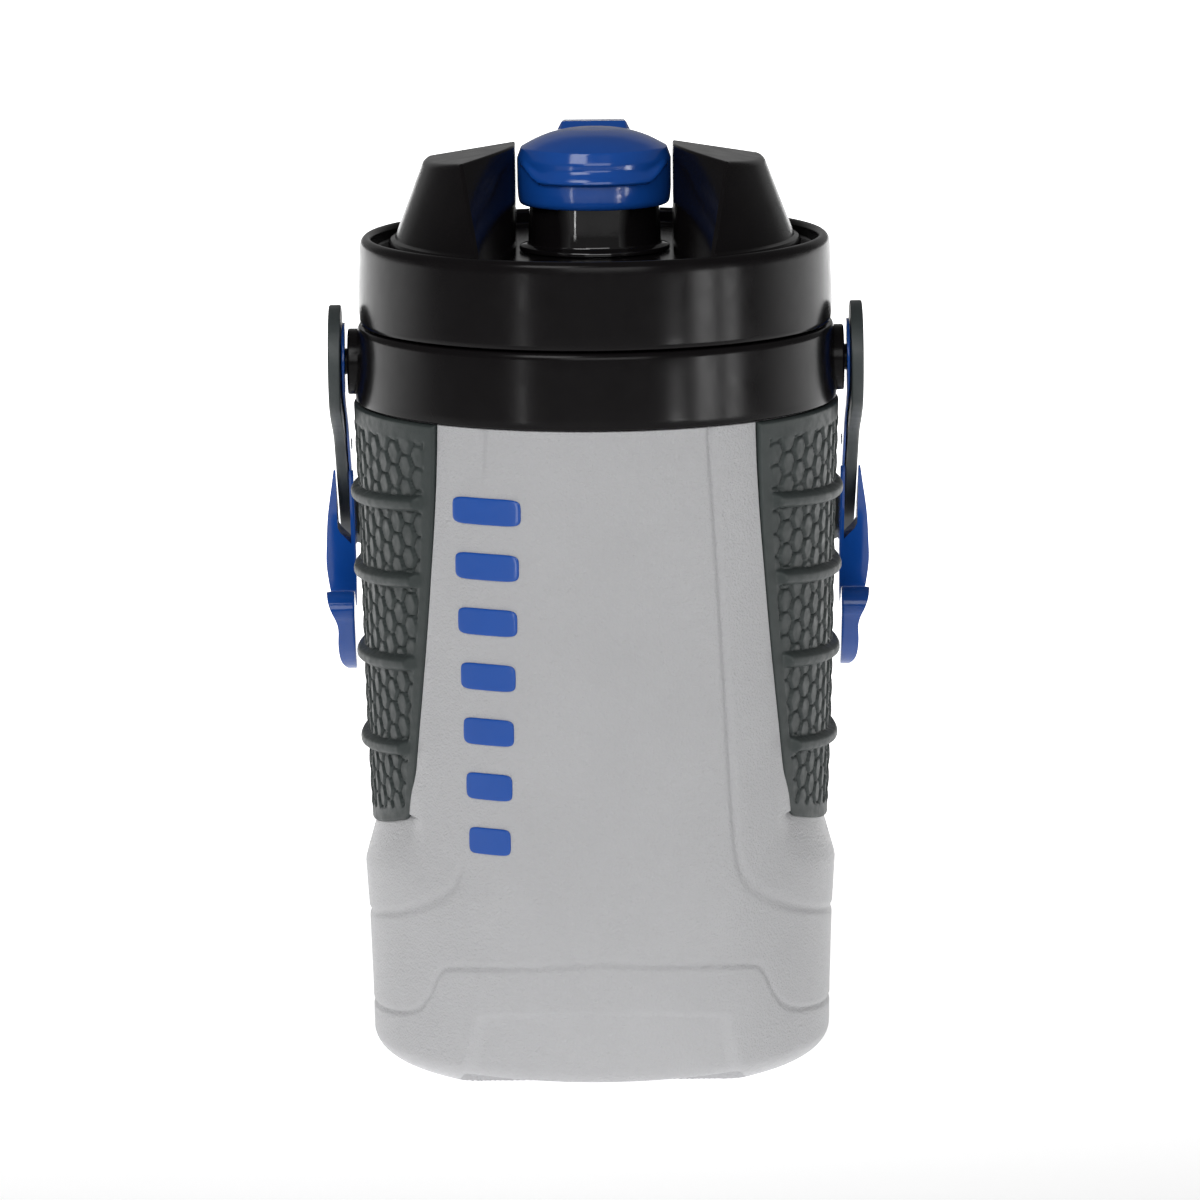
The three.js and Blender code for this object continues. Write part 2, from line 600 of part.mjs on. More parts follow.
function hingeArm() {
  const arm = outline([
    [17, 280], [20, CAP_TOP_Z - 0.4], [HINGE_Y - 3, CAP_TOP_Z - 0.9], [HINGE_Y + KNUCKLE_R, HINGE_Z + 5],
    [HINGE_Y + KNUCKLE_R, HINGE_Z], [HINGE_Y - KNUCKLE_R, HINGE_Z], [HINGE_Y - KNUCKLE_R, 278], [24, 280],
  ]);
  return plateX(arm, -KNUCKLE_HALF, KNUCKLE_HALF);
}

// A crescent ledge for the thumb, across the front of the skirt.
function thumbLedge() {
  const reach = 52;
  return wrapped([10, 1, 2], (u, v, w) => {
    const side = u * 2 - 1;
    const proud = 1.9 * (1 - side * side) + 0.05;
    return [-90 + side * reach, v ? CAP_R + (w === 1 ? 0.02 : proud) : CAP_R - 1.5, lerp(274, 279, w)];
  });
}

function flipCap() {
  const dome = turned([
    [0, CAP_CEILING_Z], [CAP_BORE_R - 0.8, CAP_CEILING_Z], [CAP_BORE_R, CAP_CEILING_Z - 1],
    [CAP_BORE_R, CAP_LOW_Z],
    [CAP_R - 0.8, CAP_LOW_Z], [CAP_R - 0.1, CAP_LOW_Z + 1.5], [CAP_R, CAP_SHOULDER_Z - 4.4],
    [21.6, CAP_SHOULDER_Z],
    [18.2, CAP_TOP_Z - 3.9], [13.4, CAP_TOP_Z - 1.7], [8, CAP_TOP_Z - 0.5], [0, CAP_TOP_Z],
  ]);
  const knuckle = rodX(KNUCKLE_R, -KNUCKLE_HALF, KNUCKLE_HALF, HINGE_Y, HINGE_Z, 20);
  return dome
    .subtract(capRearCut())
    .add(thumbLedge())
    .add(hingeArm())
    .add(knuckle)
    .subtract(rodX(HINGE_PIN_R + GAP, -KNUCKLE_HALF - 1, KNUCKLE_HALF + 1, HINGE_Y, HINGE_Z, 16));
}

function capSeal() {
  const plugLow = SPOUT_LIP_Z - 4;
  return turned([
    [0, plugLow], [14, plugLow], [15.3, plugLow + 1.5], [15.3, SPOUT_LIP_Z + GAP],
    [CAP_BORE_R - 1, SPOUT_LIP_Z + GAP],
    [CAP_BORE_R - 1, CAP_CEILING_Z - GAP], [0, CAP_CEILING_Z - GAP],
  ], SMALL_ROUND);
}

piece('flip_cap', flipCap(), 'blue');
piece('cap_seal', capSeal(), 'silicone');

// ---------------------------------------------------------------- handle

const handle = new THREE.Group();
handle.position.z = PIVOT_Z;
handle.rotation.x = PARKED_TURN;
jug.add(handle);

// The bent strap of the handle, seen from the front.
function bailStrap() {
  const inside = BAIL_CORNER_R - (BAR_OUT_Z - BAR_IN_Z);
  const strap = new THREE.Shape();
  strap.moveTo(ARM_OUT_X, 0);
  strap.lineTo(ARM_OUT_X, BAR_OUT_Z - BAIL_CORNER_R);
  strap.quadraticCurveTo(ARM_OUT_X, BAR_OUT_Z, ARM_OUT_X - BAIL_CORNER_R, BAR_OUT_Z);
  strap.lineTo(BAIL_CORNER_R - ARM_OUT_X, BAR_OUT_Z);
  strap.quadraticCurveTo(-ARM_OUT_X, BAR_OUT_Z, -ARM_OUT_X, BAR_OUT_Z - BAIL_CORNER_R);
  strap.lineTo(-ARM_OUT_X, 0);
  strap.lineTo(-ARM_IN_X, 0);
  strap.lineTo(-ARM_IN_X, BAR_IN_Z - inside);
  strap.quadraticCurveTo(-ARM_IN_X, BAR_IN_Z, inside - ARM_IN_X, BAR_IN_Z);
  strap.lineTo(ARM_IN_X - inside, BAR_IN_Z);
  strap.quadraticCurveTo(ARM_IN_X, BAR_IN_Z, ARM_IN_X, BAR_IN_Z - inside);
  strap.lineTo(ARM_IN_X, 0);
  return strap;
}

// Round eye that narrows into a plain arm, seen from the side.
function eyeOutline(radius, halfWidth, neck, top) {
  const eye = new THREE.Shape();
  eye.moveTo(-halfWidth, top);
  eye.lineTo(-halfWidth, neck);
  eye.lineTo(-radius, 4);
  eye.absarc(0, 0, radius, Math.PI, 2 * Math.PI, false);
  eye.lineTo(radius, 4);
  eye.lineTo(halfWidth, neck);
  eye.lineTo(halfWidth, top);
  return eye;
}

function bailHandle() {
  const eye = eyeOutline(ARM_EYE_R, ARM_HALF_WIDTH, ARM_NECK_Z, ARM_NECK_Z + 10);
  const strap = plateY(bailStrap(), -ARM_HALF_WIDTH, ARM_HALF_WIDTH);
  return [1, -1].reduce((whole, side) => whole
    .add(plateX(eye, side * ARM_IN_X, side * ARM_OUT_X, 12))
    .subtract(rodX(PIN_R + 0.35, side * 70, side * 90, 0, 0))
    .subtract(rodX(PIN_HEAD_R + 0.35, side * (ARM_OUT_X - 1.95), side * 90, 0, 0))
    .subtract(rodX(RIVET_R + 0.3, side * 70, side * 90, 0, RIVET_Z, 16)), strap);
}

// Side view of the hook: it climbs back from the arm, turns over and drops to an open tip.
function hookOutline() {
  const hook = new THREE.Shape();
  hook.moveTo(ARM_HALF_WIDTH + GAP - 2, 56);
  hook.lineTo(14, 70);
  hook.quadraticCurveTo(25, 94, 31.5, 96);
  hook.quadraticCurveTo(37.5, 96, 37.5, 86);
  hook.lineTo(38, 80);
  hook.quadraticCurveTo(43, 75.5, 48, 80);
  hook.quadraticCurveTo(54, 95, 52, 105);
  hook.quadraticCurveTo(49, 116.5, 39.5, 116);
  hook.quadraticCurveTo(26, 114, 14.5, 99.5);
  hook.quadraticCurveTo(8.5, 90, ARM_HALF_WIDTH + GAP - 2, 82);
  return hook;
}

// Front views of the hook as it hangs when parked. It bulges outwards and narrows to its foot, and the arm
// lies in a slot down its upper part.
const HOOK_EDGE = [[76, 190], [80.4, 190], [82.9, 180], [84.1, 172], [85.7, 161], [86.4, 151],
  [HOOK_OUT_X, 144],
  [86.4, 135], [83.6, 130], [82.4, 127], [82.7, 121], [82.4, 116.5], [80.6, 112], [76, 110]];
const ARM_SLOT = [[STRAP_OUT_X, 200], [ARM_OUT_X + GAP, 200], [ARM_OUT_X + GAP, 156], [STRAP_OUT_X, 151.5]];

function frontView(edge, side) {
  const shape = outline(edge.map(([x, z]) => [side * x, z]));
  const hanging = new THREE.ExtrudeGeometry(shape, { depth: 2 * FAR_R, bevelEnabled: false });
  hanging.rotateX(Math.PI / 2).translate(0, 2 * FAR_R - 20, -PIVOT_Z).rotateX(-PARKED_TURN);
  return solidOf(hanging);
}

function fenceHook(side) {
  const strap = eyeOutline(STRAP_EYE_R, ARM_HALF_WIDTH - 0.6, 26, STRAP_TOP_Z);
  const hook = plateX(hookOutline(), side * STRAP_IN_X, side * HOOK_OUT_X, 8)
    .intersect(frontView(HOOK_EDGE, side))
    .subtract(frontView(ARM_SLOT, side));
  const armRoom = box(-ARM_OUT_X - 9, ARM_OUT_X + 9, -20, ARM_HALF_WIDTH + GAP, -30, 130)
    .subtract(box(-STRAP_OUT_X, STRAP_OUT_X, -21, ARM_HALF_WIDTH + 9, -31, 131));
  return hook
    .subtract(armRoom)
    .add(plateX(strap, side * STRAP_IN_X, side * STRAP_OUT_X, 10))
    .subtract(rodX(PIN_R + 0.35, side * 70, side * 90, 0, 0))
    .subtract(rodX(RIVET_R + 0.3, side * 70, side * 90, 0, RIVET_Z, 16));
}

// Rivet that fastens a hook to its arm, along +X, flush on both faces.
function hookRivet() {
  return rodX(RIVET_R, STRAP_IN_X + 0.1, ARM_OUT_X - 0.1, 0, 0, 16);
}

piece('bail_handle', bailHandle(), 'handle', handle);
piece('hook_right', fenceHook(1), 'blue', handle);
piece('hook_left', fenceHook(-1), 'blue', handle);
piece('hook_rivet_right', hookRivet(), 'steel', handle).position.z = RIVET_Z;
const leftRivet = piece('hook_rivet_left', hookRivet(), 'steel', handle);
leftRivet.position.z = RIVET_Z;
leftRivet.rotation.z = Math.PI;

export default jug;
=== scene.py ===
"""Looks of an insulated half-gallon jug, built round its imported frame.

Outlines are drawn in millimetres and become metres in skin(). +Z is up, -Y the front and +-X the sides.
The handle is drawn upright about its pivots and then laid back into its parked place.
"""

import math

import bmesh
import bpy
import numpy as np
from mathutils import Matrix, Vector


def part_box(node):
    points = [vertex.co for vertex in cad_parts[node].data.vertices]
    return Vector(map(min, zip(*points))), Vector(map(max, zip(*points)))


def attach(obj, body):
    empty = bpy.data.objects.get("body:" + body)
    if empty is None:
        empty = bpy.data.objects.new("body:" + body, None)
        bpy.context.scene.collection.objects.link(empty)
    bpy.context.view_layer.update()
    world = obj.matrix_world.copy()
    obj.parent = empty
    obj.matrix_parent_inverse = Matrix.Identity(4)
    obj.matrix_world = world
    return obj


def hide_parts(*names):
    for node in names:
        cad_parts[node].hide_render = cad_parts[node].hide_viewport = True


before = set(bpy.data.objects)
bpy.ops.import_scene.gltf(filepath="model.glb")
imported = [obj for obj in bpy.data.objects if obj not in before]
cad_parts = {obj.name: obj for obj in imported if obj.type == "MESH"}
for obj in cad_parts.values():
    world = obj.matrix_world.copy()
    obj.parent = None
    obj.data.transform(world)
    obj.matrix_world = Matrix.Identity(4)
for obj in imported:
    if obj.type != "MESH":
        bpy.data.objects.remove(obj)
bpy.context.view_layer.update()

MM = 0.001
MERGE = 1e-6  # metres; points closer than this are one point


def span(node):
    """Lowest and highest corner of a CAD node, in mm."""
    low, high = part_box(node)
    return np.array(low) / MM, np.array(high) / MM


# ------------------------------ driving dimensions, in mm

BODY_TOP = span("outer_shell")[1][2]
BASE_R = 61
HEEL_R, HEEL_Z = 71.4, 8
SIDE = [(HEEL_Z, HEEL_R), (21, 71.6), (45, 72.4), (61, 73.4), (BODY_TOP, 73.7)]  # height, radius
WALL = 2.4
SKIN_R = 73.4  # radius at which lengths along the side are measured

GRIP_LOW, GRIP_TOP = span("grip_right")[0][2], span("grip_right")[1][2]
GRIP_SIDE = [(75, 71.0), (110, 72.4), (173, 73.9), (GRIP_TOP, 75.0)]
GRIP_HALF_LOW, GRIP_HALF_TOP, GRIP_EDGE_CURVE = 34.5, 48.9, 1.6  # degrees either side of +-X
GRIP_THICK = 2.4
GRIP_SWEEP = 9  # the grip's lower edge climbs this much towards its corners
RAMP_LOW = 61  # the scoop below a grip starts here

PIVOT = span("pivot_pin_right")
PIVOT_Z = (PIVOT[0][2] + PIVOT[1][2]) / 2
PARKED = math.radians(-128)  # from upright to the handle's place at rest

DECK = 251.5
SPOUT_LIP = span("spout_tube")[1][2]
CAP_LOW = span("flip_cap")[0][2]
HINGE = span("cap_hinge_pin")
HINGE_Y, HINGE_Z = (HINGE[0][1] + HINGE[1][1]) / 2, (HINGE[0][2] + HINGE[1][2]) / 2


# ------------------------------ numbers

def smooth(x, low, high):
    """0 below low and 1 above high, with a smooth climb between."""
    t = np.clip((x - low) / (high - low), 0, 1)
    return t * t * (3 - 2 * t)


def table(pairs, at):
    """Straight lines between pairs of place and value."""
    places, values = zip(*pairs)
    return np.interp(at, places, values)


def soften(corners, radii, closed=True, steps=4):
    """Outlines with each corner turned into a short arc. corners is [corner, ..., coordinate]."""
    corners = np.asarray(corners, float)
    t = np.linspace(0, 1, steps + 1).reshape(-1, *[1] * (corners.ndim - 1))
    parts = []
    for place, corner in enumerate(corners):
        if radii[place] == 0 or (not closed and place in (0, len(corners) - 1)):
            parts.append(corner[None])
            continue
        ends = []
        for other in (corners[place - 1], corners[(place + 1) % len(corners)]):
            leg = other - corner
            length = np.maximum(np.linalg.norm(leg, axis=-1, keepdims=True), MERGE)
            ends.append(corner + leg * np.minimum(radii[place] / length, 0.45))
        parts.append((1 - t) ** 2 * ends[0] + 2 * t * (1 - t) * corner + t * t * ends[1])
    return np.concatenate(parts)


def refined(outline, step, closed=True):
    """The same outline with points no further apart than step."""
    following = np.roll(outline, -1, 0) if closed else outline[1:]
    parts = []
    for start, end in zip(outline, following):
        count = max(1, math.ceil(np.linalg.norm(end - start) / step))
        parts.append(start + (end - start) * (np.arange(count) / count)[:, None])
    if not closed:
        parts.append(outline[-1:])
    return np.concatenate(parts)


def path_distance(x, z, path):
    """Distance from points to a path of straight stretches."""
    nearest = np.full(np.broadcast(x, z).shape, np.inf)
    for (ax, az), (bx, bz) in zip(path[:-1], path[1:]):
        along = ((x - ax) * (bx - ax) + (z - az) * (bz - az)) / ((bx - ax) ** 2 + (bz - az) ** 2)
        along = np.clip(along, 0, 1)
        nearest = np.minimum(nearest, np.hypot(x - ax - along * (bx - ax), z - az - along * (bz - az)))
    return nearest


def rounded_path(points, passes=3):
    """A path whose corners are cut again and again until they are round."""
    points = np.asarray(points, float)
    for _ in range(passes):
        near, far = 0.75 * points[:-1] + 0.25 * points[1:], 0.25 * points[:-1] + 0.75 * points[1:]
        middle = np.stack([near, far], 1).reshape(-1, 2)
        points = np.concatenate([points[:1], middle, points[-1:]])
    return points


def degrees_from_front(degrees):
    """The angle between a direction and the front, 0 to 180, from its angle from +X."""
    return np.abs((degrees + 90 + 180) % 360 - 180)


def polar(radius, degrees, height):
    """Points in space from arrays of radius, angle from +X and height."""
    angle = np.radians(degrees)
    return np.stack(np.broadcast_arrays(radius * np.cos(angle), radius * np.sin(angle), height), -1)


# ------------------------------ meshes

def shade(piece, sharp=35):
    piece.data.shade_smooth()
    piece.data.set_sharp_from_angle(angle=math.radians(sharp))


def skin(name, grid, material, loop=False, caps=False, sharp=35):
    """A piece skinned over grids of points [row, column, xyz] in mm, each grid a closed body of its own.

    Every row is a ring. With loop, the last row joins the first one too."""
    points, faces = [], []
    for part in grid if isinstance(grid, list) else [grid]:
        rows, columns = part.shape[:2]
        first = sum(len(p) for p in points)
        i, j = np.meshgrid(np.arange(rows - (not loop)), np.arange(columns), indexing="ij")
        after, beside = (i + 1) % rows, (j + 1) % columns
        corners = [i * columns + j, i * columns + beside, after * columns + beside, after * columns + j]
        faces += (np.stack(corners, -1).reshape(-1, 4) + first).tolist()
        if caps:
            faces.append(list(range(first, first + columns)))
            faces.append(list(range(first + (rows - 1) * columns, first + rows * columns)))
        points.append(part.reshape(-1, 3))
    mesh = bpy.data.meshes.new(name)
    mesh.from_pydata((np.concatenate(points) * MM).tolist(), [], faces)
    work = bmesh.new()
    work.from_mesh(mesh)
    bmesh.ops.remove_doubles(work, verts=work.verts, dist=MERGE)
    bmesh.ops.recalc_face_normals(work, faces=work.faces)
    work.to_mesh(mesh)
    work.free()
    piece = bpy.data.objects.new(name, mesh)
    bpy.context.scene.collection.objects.link(piece)
    mesh.materials.append(material)
    shade(piece, sharp)
    return piece


def turned(name, corners, material, radius=0.5, columns=128, step=6.0, shape=None, sharp=35):
    """A piece turned about Z. Corners are (radius, height) or (radius, height, rounding)."""
    closed = corners[0][0] > 0
    roundings = [corner[2] if len(corner) > 2 else radius for corner in corners]
    outline = refined(soften([corner[:2] for corner in corners], roundings, closed), step, closed)
    r, z = outline[:, :1], outline[:, 1:]
    degrees = np.arange(columns) * 360 / columns
    if shape:
        r, z = shape(r, z, degrees)
    return skin(name, polar(r, degrees, z), material, loop=closed, sharp=sharp)


def turned_about_x(name, outline, y, z, material, columns=48):
    """A piece turned about a line along X. The outline's points are (radius, x)."""
    angle = np.arange(columns) * 2 * np.pi / columns
    r, x = outline[:, :1], outline[:, 1:]
    grid = np.stack(np.broadcast_arrays(x, y + r * np.cos(angle), z + r * np.sin(angle)), -1)
    return skin(name, grid, material)


def rod(radius, x0, x1, y, z, material, rounding=0.3, columns=48):
    """A rod along X with rounded ends."""
    outline = soften([(0, x0), (radius, x0), (radius, x1), (0, x1)], [rounding] * 4, closed=False)
    return turned_about_x("rod", outline, y, z, material, columns)


def bar(name, corners, radii, material, steps=4):
    """A bar with rounded corners along it and flat ends. corners is [corner, section, xyz]."""
    grid = soften(corners, radii, steps=steps).transpose(1, 0, 2)
    return skin(name, grid, material, caps=True)


def combine(piece, others, operation):
    """Joins closed pieces to a piece, or cuts them out of it, and uses them up."""
    for other in others:
        change = piece.modifiers.new("combine", "BOOLEAN")
        change.object, change.operation, change.solver = other, operation, "EXACT"
        graph = bpy.context.evaluated_depsgraph_get()
        result = bpy.data.meshes.new_from_object(piece.evaluated_get(graph))
        piece.modifiers.clear()
        piece.data = result
        bpy.data.objects.remove(other)
    shade(piece)
    return piece


def fit(piece, body, slot, *nodes):
    """The piece rides on a body and stands for CAD nodes, which it hides. slot is not used."""
    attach(piece, body)
    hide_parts(*nodes)


# ------------------------------ materials

def srgb(red, green, blue):
    """A colour from screen values, 0 to 255."""
    parts = [c / 255 for c in (red, green, blue)]
    return tuple(((c + 0.055) / 1.055) ** 2.4 if c > 0.04 else c / 12.92 for c in parts) + (1,)


class Surface:
    """A Principled material with its textures laid out in mm on the piece itself."""

    def __init__(self, name, **values):
        self.material = bpy.data.materials.new(name)
        self.material.use_nodes = True
        self.tree = self.material.node_tree
        self.shader = self.tree.nodes["Principled BSDF"]
        self.coordinates = self.node("ShaderNodeTexCoord").outputs["Object"]
        for socket, value in values.items():
            self.shader.inputs[socket.replace("_", " ")].default_value = value

    def node(self, kind, **values):
        made = self.tree.nodes.new(kind)
        for socket, value in values.items():
            made.inputs[socket.replace("_", " ")].default_value = value
        return made

    def link(self, source, node, socket):
        self.tree.links.new(source, node.inputs[socket])

    def noise(self, size, octaves=2, stretch=(1, 1, 1)):
        """Noise with features of this size, drawn out along an axis by a stretch below 1."""
        place = self.node("ShaderNodeMapping", Scale=[s / (size * MM) for s in stretch])
        noise = self.node("ShaderNodeTexNoise", Scale=1, Detail=octaves)
        self.link(self.coordinates, place, "Vector")
        self.link(place.outputs["Vector"], noise, "Vector")
        return noise.outputs["Fac"]

    def cells(self, size):
        """Rounded cells of this size, for pebbled and porous surfaces."""
        cells = self.node("ShaderNodeTexVoronoi", Scale=1 / (size * MM))
        cells.feature = "SMOOTH_F1"
        self.link(self.coordinates, cells, "Vector")
        return cells.outputs["Distance"]

    def spread(self, source, low, high, start=0.3, end=0.7):
        """A texture's range from start to end, stretched from low to high."""
        ranges = {"From_Min": start, "From_Max": end, "To_Min": low, "To_Max": high}
        node = self.node("ShaderNodeMapRange", **ranges)
        self.link(source, node, "Value")
        return node.outputs["Result"]

    def colour(self, source, low, high):
        """The base colour goes from low to high as the texture does."""
        mix = self.node("ShaderNodeMix")
        mix.data_type = "RGBA"
        mix.inputs[6].default_value, mix.inputs[7].default_value = low, high
        self.link(source, mix, 0)
        self.link(mix.outputs[2], self.shader, "Base Color")

    def roughness(self, source, low, high):
        self.link(self.spread(source, low, high), self.shader, "Roughness")

    def bumps(self, *layers):
        """Bumps from (texture, height in mm) pairs, one upon another."""
        normal = None
        for source, height in layers:
            bump = self.node("ShaderNodeBump", Strength=1, Distance=height * MM)
            self.link(source, bump, "Height")
            if normal:
                self.link(normal, bump, "Normal")
            normal = bump.outputs["Normal"]
        self.link(normal, self.shader, "Normal")


def shell_plastic():
    """Pale grey moulded plastic with a fine pebbled grain."""
    surface = Surface("shell_plastic", Specular_IOR_Level=0.5)
    surface.colour(surface.noise(26, 3), srgb(185, 185, 187), srgb(193, 193, 195))
    surface.roughness(surface.noise(1.4, 2), 0.28, 0.42)
    surface.bumps((surface.cells(0.8), 0.2), (surface.noise(0.5, 2), 0.24))
    return surface.material


def grip_rubber():
    """Soft grey-green rubber whose tone varies a little at random."""
    surface = Surface("grip_rubber", Specular_IOR_Level=0.4)
    surface.colour(surface.noise(5, 4), srgb(46, 53, 52), srgb(57, 64, 63))
    surface.roughness(surface.noise(2.5, 3), 0.42, 0.6)
    surface.bumps((surface.noise(0.5, 3), 0.05))
    return surface.material


def even_finish(name, colours, rough, bumps, **values):
    """A finish that varies a little, with sizes and heights in mm.

    Colours and rough are (size, low, high), and each bump is (size, octaves, height)."""
    surface = Surface(name, **values)
    size, low, high = colours
    surface.colour(surface.noise(size, 3), srgb(*low), srgb(*high))
    size, low, high = rough
    surface.roughness(surface.noise(size, 3), low, high)
    surface.bumps(*[(surface.noise(size, octaves), height) for size, octaves, height in bumps])
    return surface.material


def foam_fill():
    """Poured foam: cream, dull and full of small pores, with painted shade darkening the bottom of each
    pore.
    """
    surface = Surface("foam_fill", Specular_IOR_Level=0.2)
    # painted shade: the colour follows the same cells as the bumps, darker down in each pore
    surface.colour(surface.cells(1.6), srgb(188, 168, 116), srgb(228, 212, 162))
    surface.roughness(surface.noise(4, 3), 0.85, 0.98)
    surface.bumps((surface.cells(1.6), 0.5), (surface.noise(0.6, 3), 0.15))
    return surface.material


def brushed_steel():
    surface = Surface("brushed_steel", Metallic=1, Anisotropic=0.4)
    streaks = surface.noise(0.4, 3, stretch=(0.05, 1, 1))
    surface.colour(streaks, srgb(176, 179, 182), srgb(202, 204, 206))
    surface.roughness(streaks, 0.2, 0.36)
    surface.bumps((streaks, 0.004))
    return surface.material


SHELL = shell_plastic()
RUBBER = grip_rubber()
FOAM = foam_fill()
STEEL = brushed_steel()
# bumps of 6 and 7 mm are the slight waviness of a polished mould
BLACKS = (9, (15, 13, 14), (21, 19, 20))
BLACK = even_finish("black_satin", BLACKS, (6, 0.17, 0.24), [(7, 1, 0.01), (0.4, 2, 0.004)],
                    Specular_IOR_Level=0.15)
BLACK_GLOSS = even_finish("black_gloss", BLACKS, (6, 0.04, 0.11), [(7, 1, 0.006), (0.4, 2, 0.004)],
                          Specular_IOR_Level=0.8)
BLUE = even_finish("blue_plastic", (12, (20, 78, 166), (26, 85, 176)), (5, 0.1, 0.17),
                   [(6, 1, 0.012), (0.4, 2, 0.002)], Specular_IOR_Level=0.5)
HANDLE = even_finish("handle_plastic", (8, (54, 60, 61), (64, 71, 71)), (4, 0.4, 0.52),
                     [(0.6, 2, 0.012)], Specular_IOR_Level=0.5)
LINER = even_finish("liner_plastic", (20, (226, 226, 221), (234, 234, 230)), (5, 0.3, 0.42),
                    [(0.7, 2, 0.008)], Specular_IOR_Level=0.5)
SILICONE = even_finish("soft_silicone", (7, (208, 211, 209), (222, 224, 221)), (2, 0.42, 0.58),
                       [(0.8, 2, 0.01)], Subsurface_Weight=0.15, Subsurface_Scale=0.002)


# ------------------------------ camera, light and floor

CAMERA_PLACE, CAMERA_TARGET = Vector((0.0006, -2.130, 0.5157)), Vector((0.0006, 0, 0.1417))  # metres
CAMERA_SENSOR, CAMERA_LENS = 36, 208.5
CAMERA_ROLL = -0.54  # degrees
LIGHT_TARGET = Vector((0, 0, 0.16))  # metres
WHITE = (1, 1, 1, 1)


def camera():
    data = bpy.data.cameras.new("camera")
    data.sensor_width, data.lens = CAMERA_SENSOR, CAMERA_LENS
    data.clip_end = 100
    made = bpy.data.objects.new("camera", data)
    made.location = CAMERA_PLACE
    made.rotation_euler = (CAMERA_TARGET - CAMERA_PLACE).to_track_quat("-Z", "Y").to_euler()
    made.rotation_euler.rotate_axis("Z", math.radians(CAMERA_ROLL))
    bpy.context.scene.collection.objects.link(made)
    bpy.context.scene.camera = made


def soft_box(name, azimuth, elevation, distance, width, height, power, fill=True):
    """A soft box facing the jug, in degrees, metres and watts. Azimuth 0 is in front and 90 on the right.

    Without fill it shows only in glossy surfaces and lights no others."""
    data = bpy.data.lights.new(name, "AREA")
    data.shape, data.size, data.size_y, data.energy = "RECTANGLE", width, height, power
    made = bpy.data.objects.new(name, data)
    a, e = math.radians(azimuth), math.radians(elevation)
    away = Vector((math.sin(a) * math.cos(e), -math.cos(a) * math.cos(e), math.sin(e)))
    made.location = LIGHT_TARGET + distance * away
    made.rotation_euler = (LIGHT_TARGET - made.location).to_track_quat("-Z", "Y").to_euler()
    made.visible_diffuse = fill
    bpy.context.scene.collection.objects.link(made)


def surroundings():
    """A white background, which lights the jug dimly: a little more from behind than from elsewhere."""
    world = bpy.data.worlds.new("booth")
    bpy.context.scene.world = world
    world.use_nodes = True
    tree = world.node_tree
    background = tree.nodes["Background"]
    direction = tree.nodes.new("ShaderNodeTexCoord")
    parts = tree.nodes.new("ShaderNodeSeparateXYZ")
    lit = tree.nodes.new("ShaderNodeMapRange")
    seen = tree.nodes.new("ShaderNodeLightPath")
    brighter = tree.nodes.new("ShaderNodeMath")
    brighter.operation = "MAXIMUM"
    for socket, value in (("From Min", 0.74), ("From Max", 0.84), ("To Min", 0.14), ("To Max", 0.3)):
        lit.inputs[socket].default_value = value
    tree.links.new(direction.outputs["Generated"], parts.inputs["Vector"])
    tree.links.new(parts.outputs["Y"], lit.inputs["Value"])
    tree.links.new(lit.outputs["Result"], brighter.inputs[0])
    tree.links.new(seen.outputs["Is Camera Ray"], brighter.inputs[1])
    tree.links.new(brighter.outputs["Value"], background.inputs["Strength"])
    background.inputs["Color"].default_value = WHITE


def floor():
    """A pale floor that glows more and more towards the back."""
    surface = Surface("pale_floor", Roughness=0.9, Specular_IOR_Level=0.1)
    surface.shader.inputs["Emission Color"].default_value = WHITE
    parts = surface.node("ShaderNodeSeparateXYZ")
    surface.link(surface.coordinates, parts, "Vector")
    glow = surface.spread(parts.outputs["Y"], low=0.2, high=1.8, start=-0.45, end=0.8)
    surface.link(glow, surface.shader, "Emission Strength")
    surface.colour(surface.noise(400, 2), srgb(246, 246, 246), srgb(250, 250, 250))
    radii = np.array([0.0, 300, 1200, 5000, 20000])[:, None]
    made = skin("floor", polar(radii, np.arange(64) * 360 / 64, 0.0), surface.material)


camera()
surroundings()
soft_box("key", -26, 42, 1.5, 0.6, 0.6, 6)
soft_box("front_fill", 5, 22, 2.6, 1.8, 1.0, 15)
soft_box("right_strip", 52, -2, 0.95, 0.16, 0.28, 1.2, fill=False)
soft_box("right_edge", 66, -2, 0.95, 0.12, 0.28, 0.8, fill=False)
soft_box("left_strip", -34, -2, 0.95, 0.03, 0.28, 0.25, fill=False)
soft_box("glint", 37, -3.6, 0.95, 0.06, 0.05, 0.35, fill=False)
floor()
bpy.context.scene.view_settings.view_transform = "Standard"


# ------------------------------ outer shell

def grip_radius(z):
    return table(GRIP_SIDE, z)


def grip_half(z):
    from_top = np.clip((GRIP_TOP - z) / (GRIP_TOP - GRIP_LOW), 0, 1)
    return GRIP_HALF_TOP - (GRIP_HALF_TOP - GRIP_HALF_LOW) * from_top ** GRIP_EDGE_CURVE


CHANNEL_GAP = 0.35  # between a grip and the floor and walls of its channel
CHANNEL_MARGIN = np.degrees(0.5 / SKIN_R)
PANEL_GROOVE = rounded_path([  # degrees from the front and height
    (27.3, 212), (27.5, 204.7), (30.5, 152.5), (34, 74.8), (37, 64.3), (41, 60.1), (46, 56.9), (57, 51.8),
    (81.5, 45.3), (90, 44.6),
])
LOWER_GROOVE = rounded_path([
    (0, 42.2), (40.5, 38.1), (43.5, 35.9), (45, 33.1), (47.5, 27.5), (53, 20.8), (70, 17.5), (90, 15.8),
])
NOTCH_RISE, NOTCH_DEPTH = 4.5, 1.4
PLUG_Y, PLUG_HOLE = (span("foam_fill_plug")[0][1] + span("foam_fill_plug")[1][1]) / 2, 8.95


def along_side(path):
    """A path in degrees and height, laid out flat in mm."""
    return [(math.radians(degrees) * SKIN_R, z) for degrees, z in path]


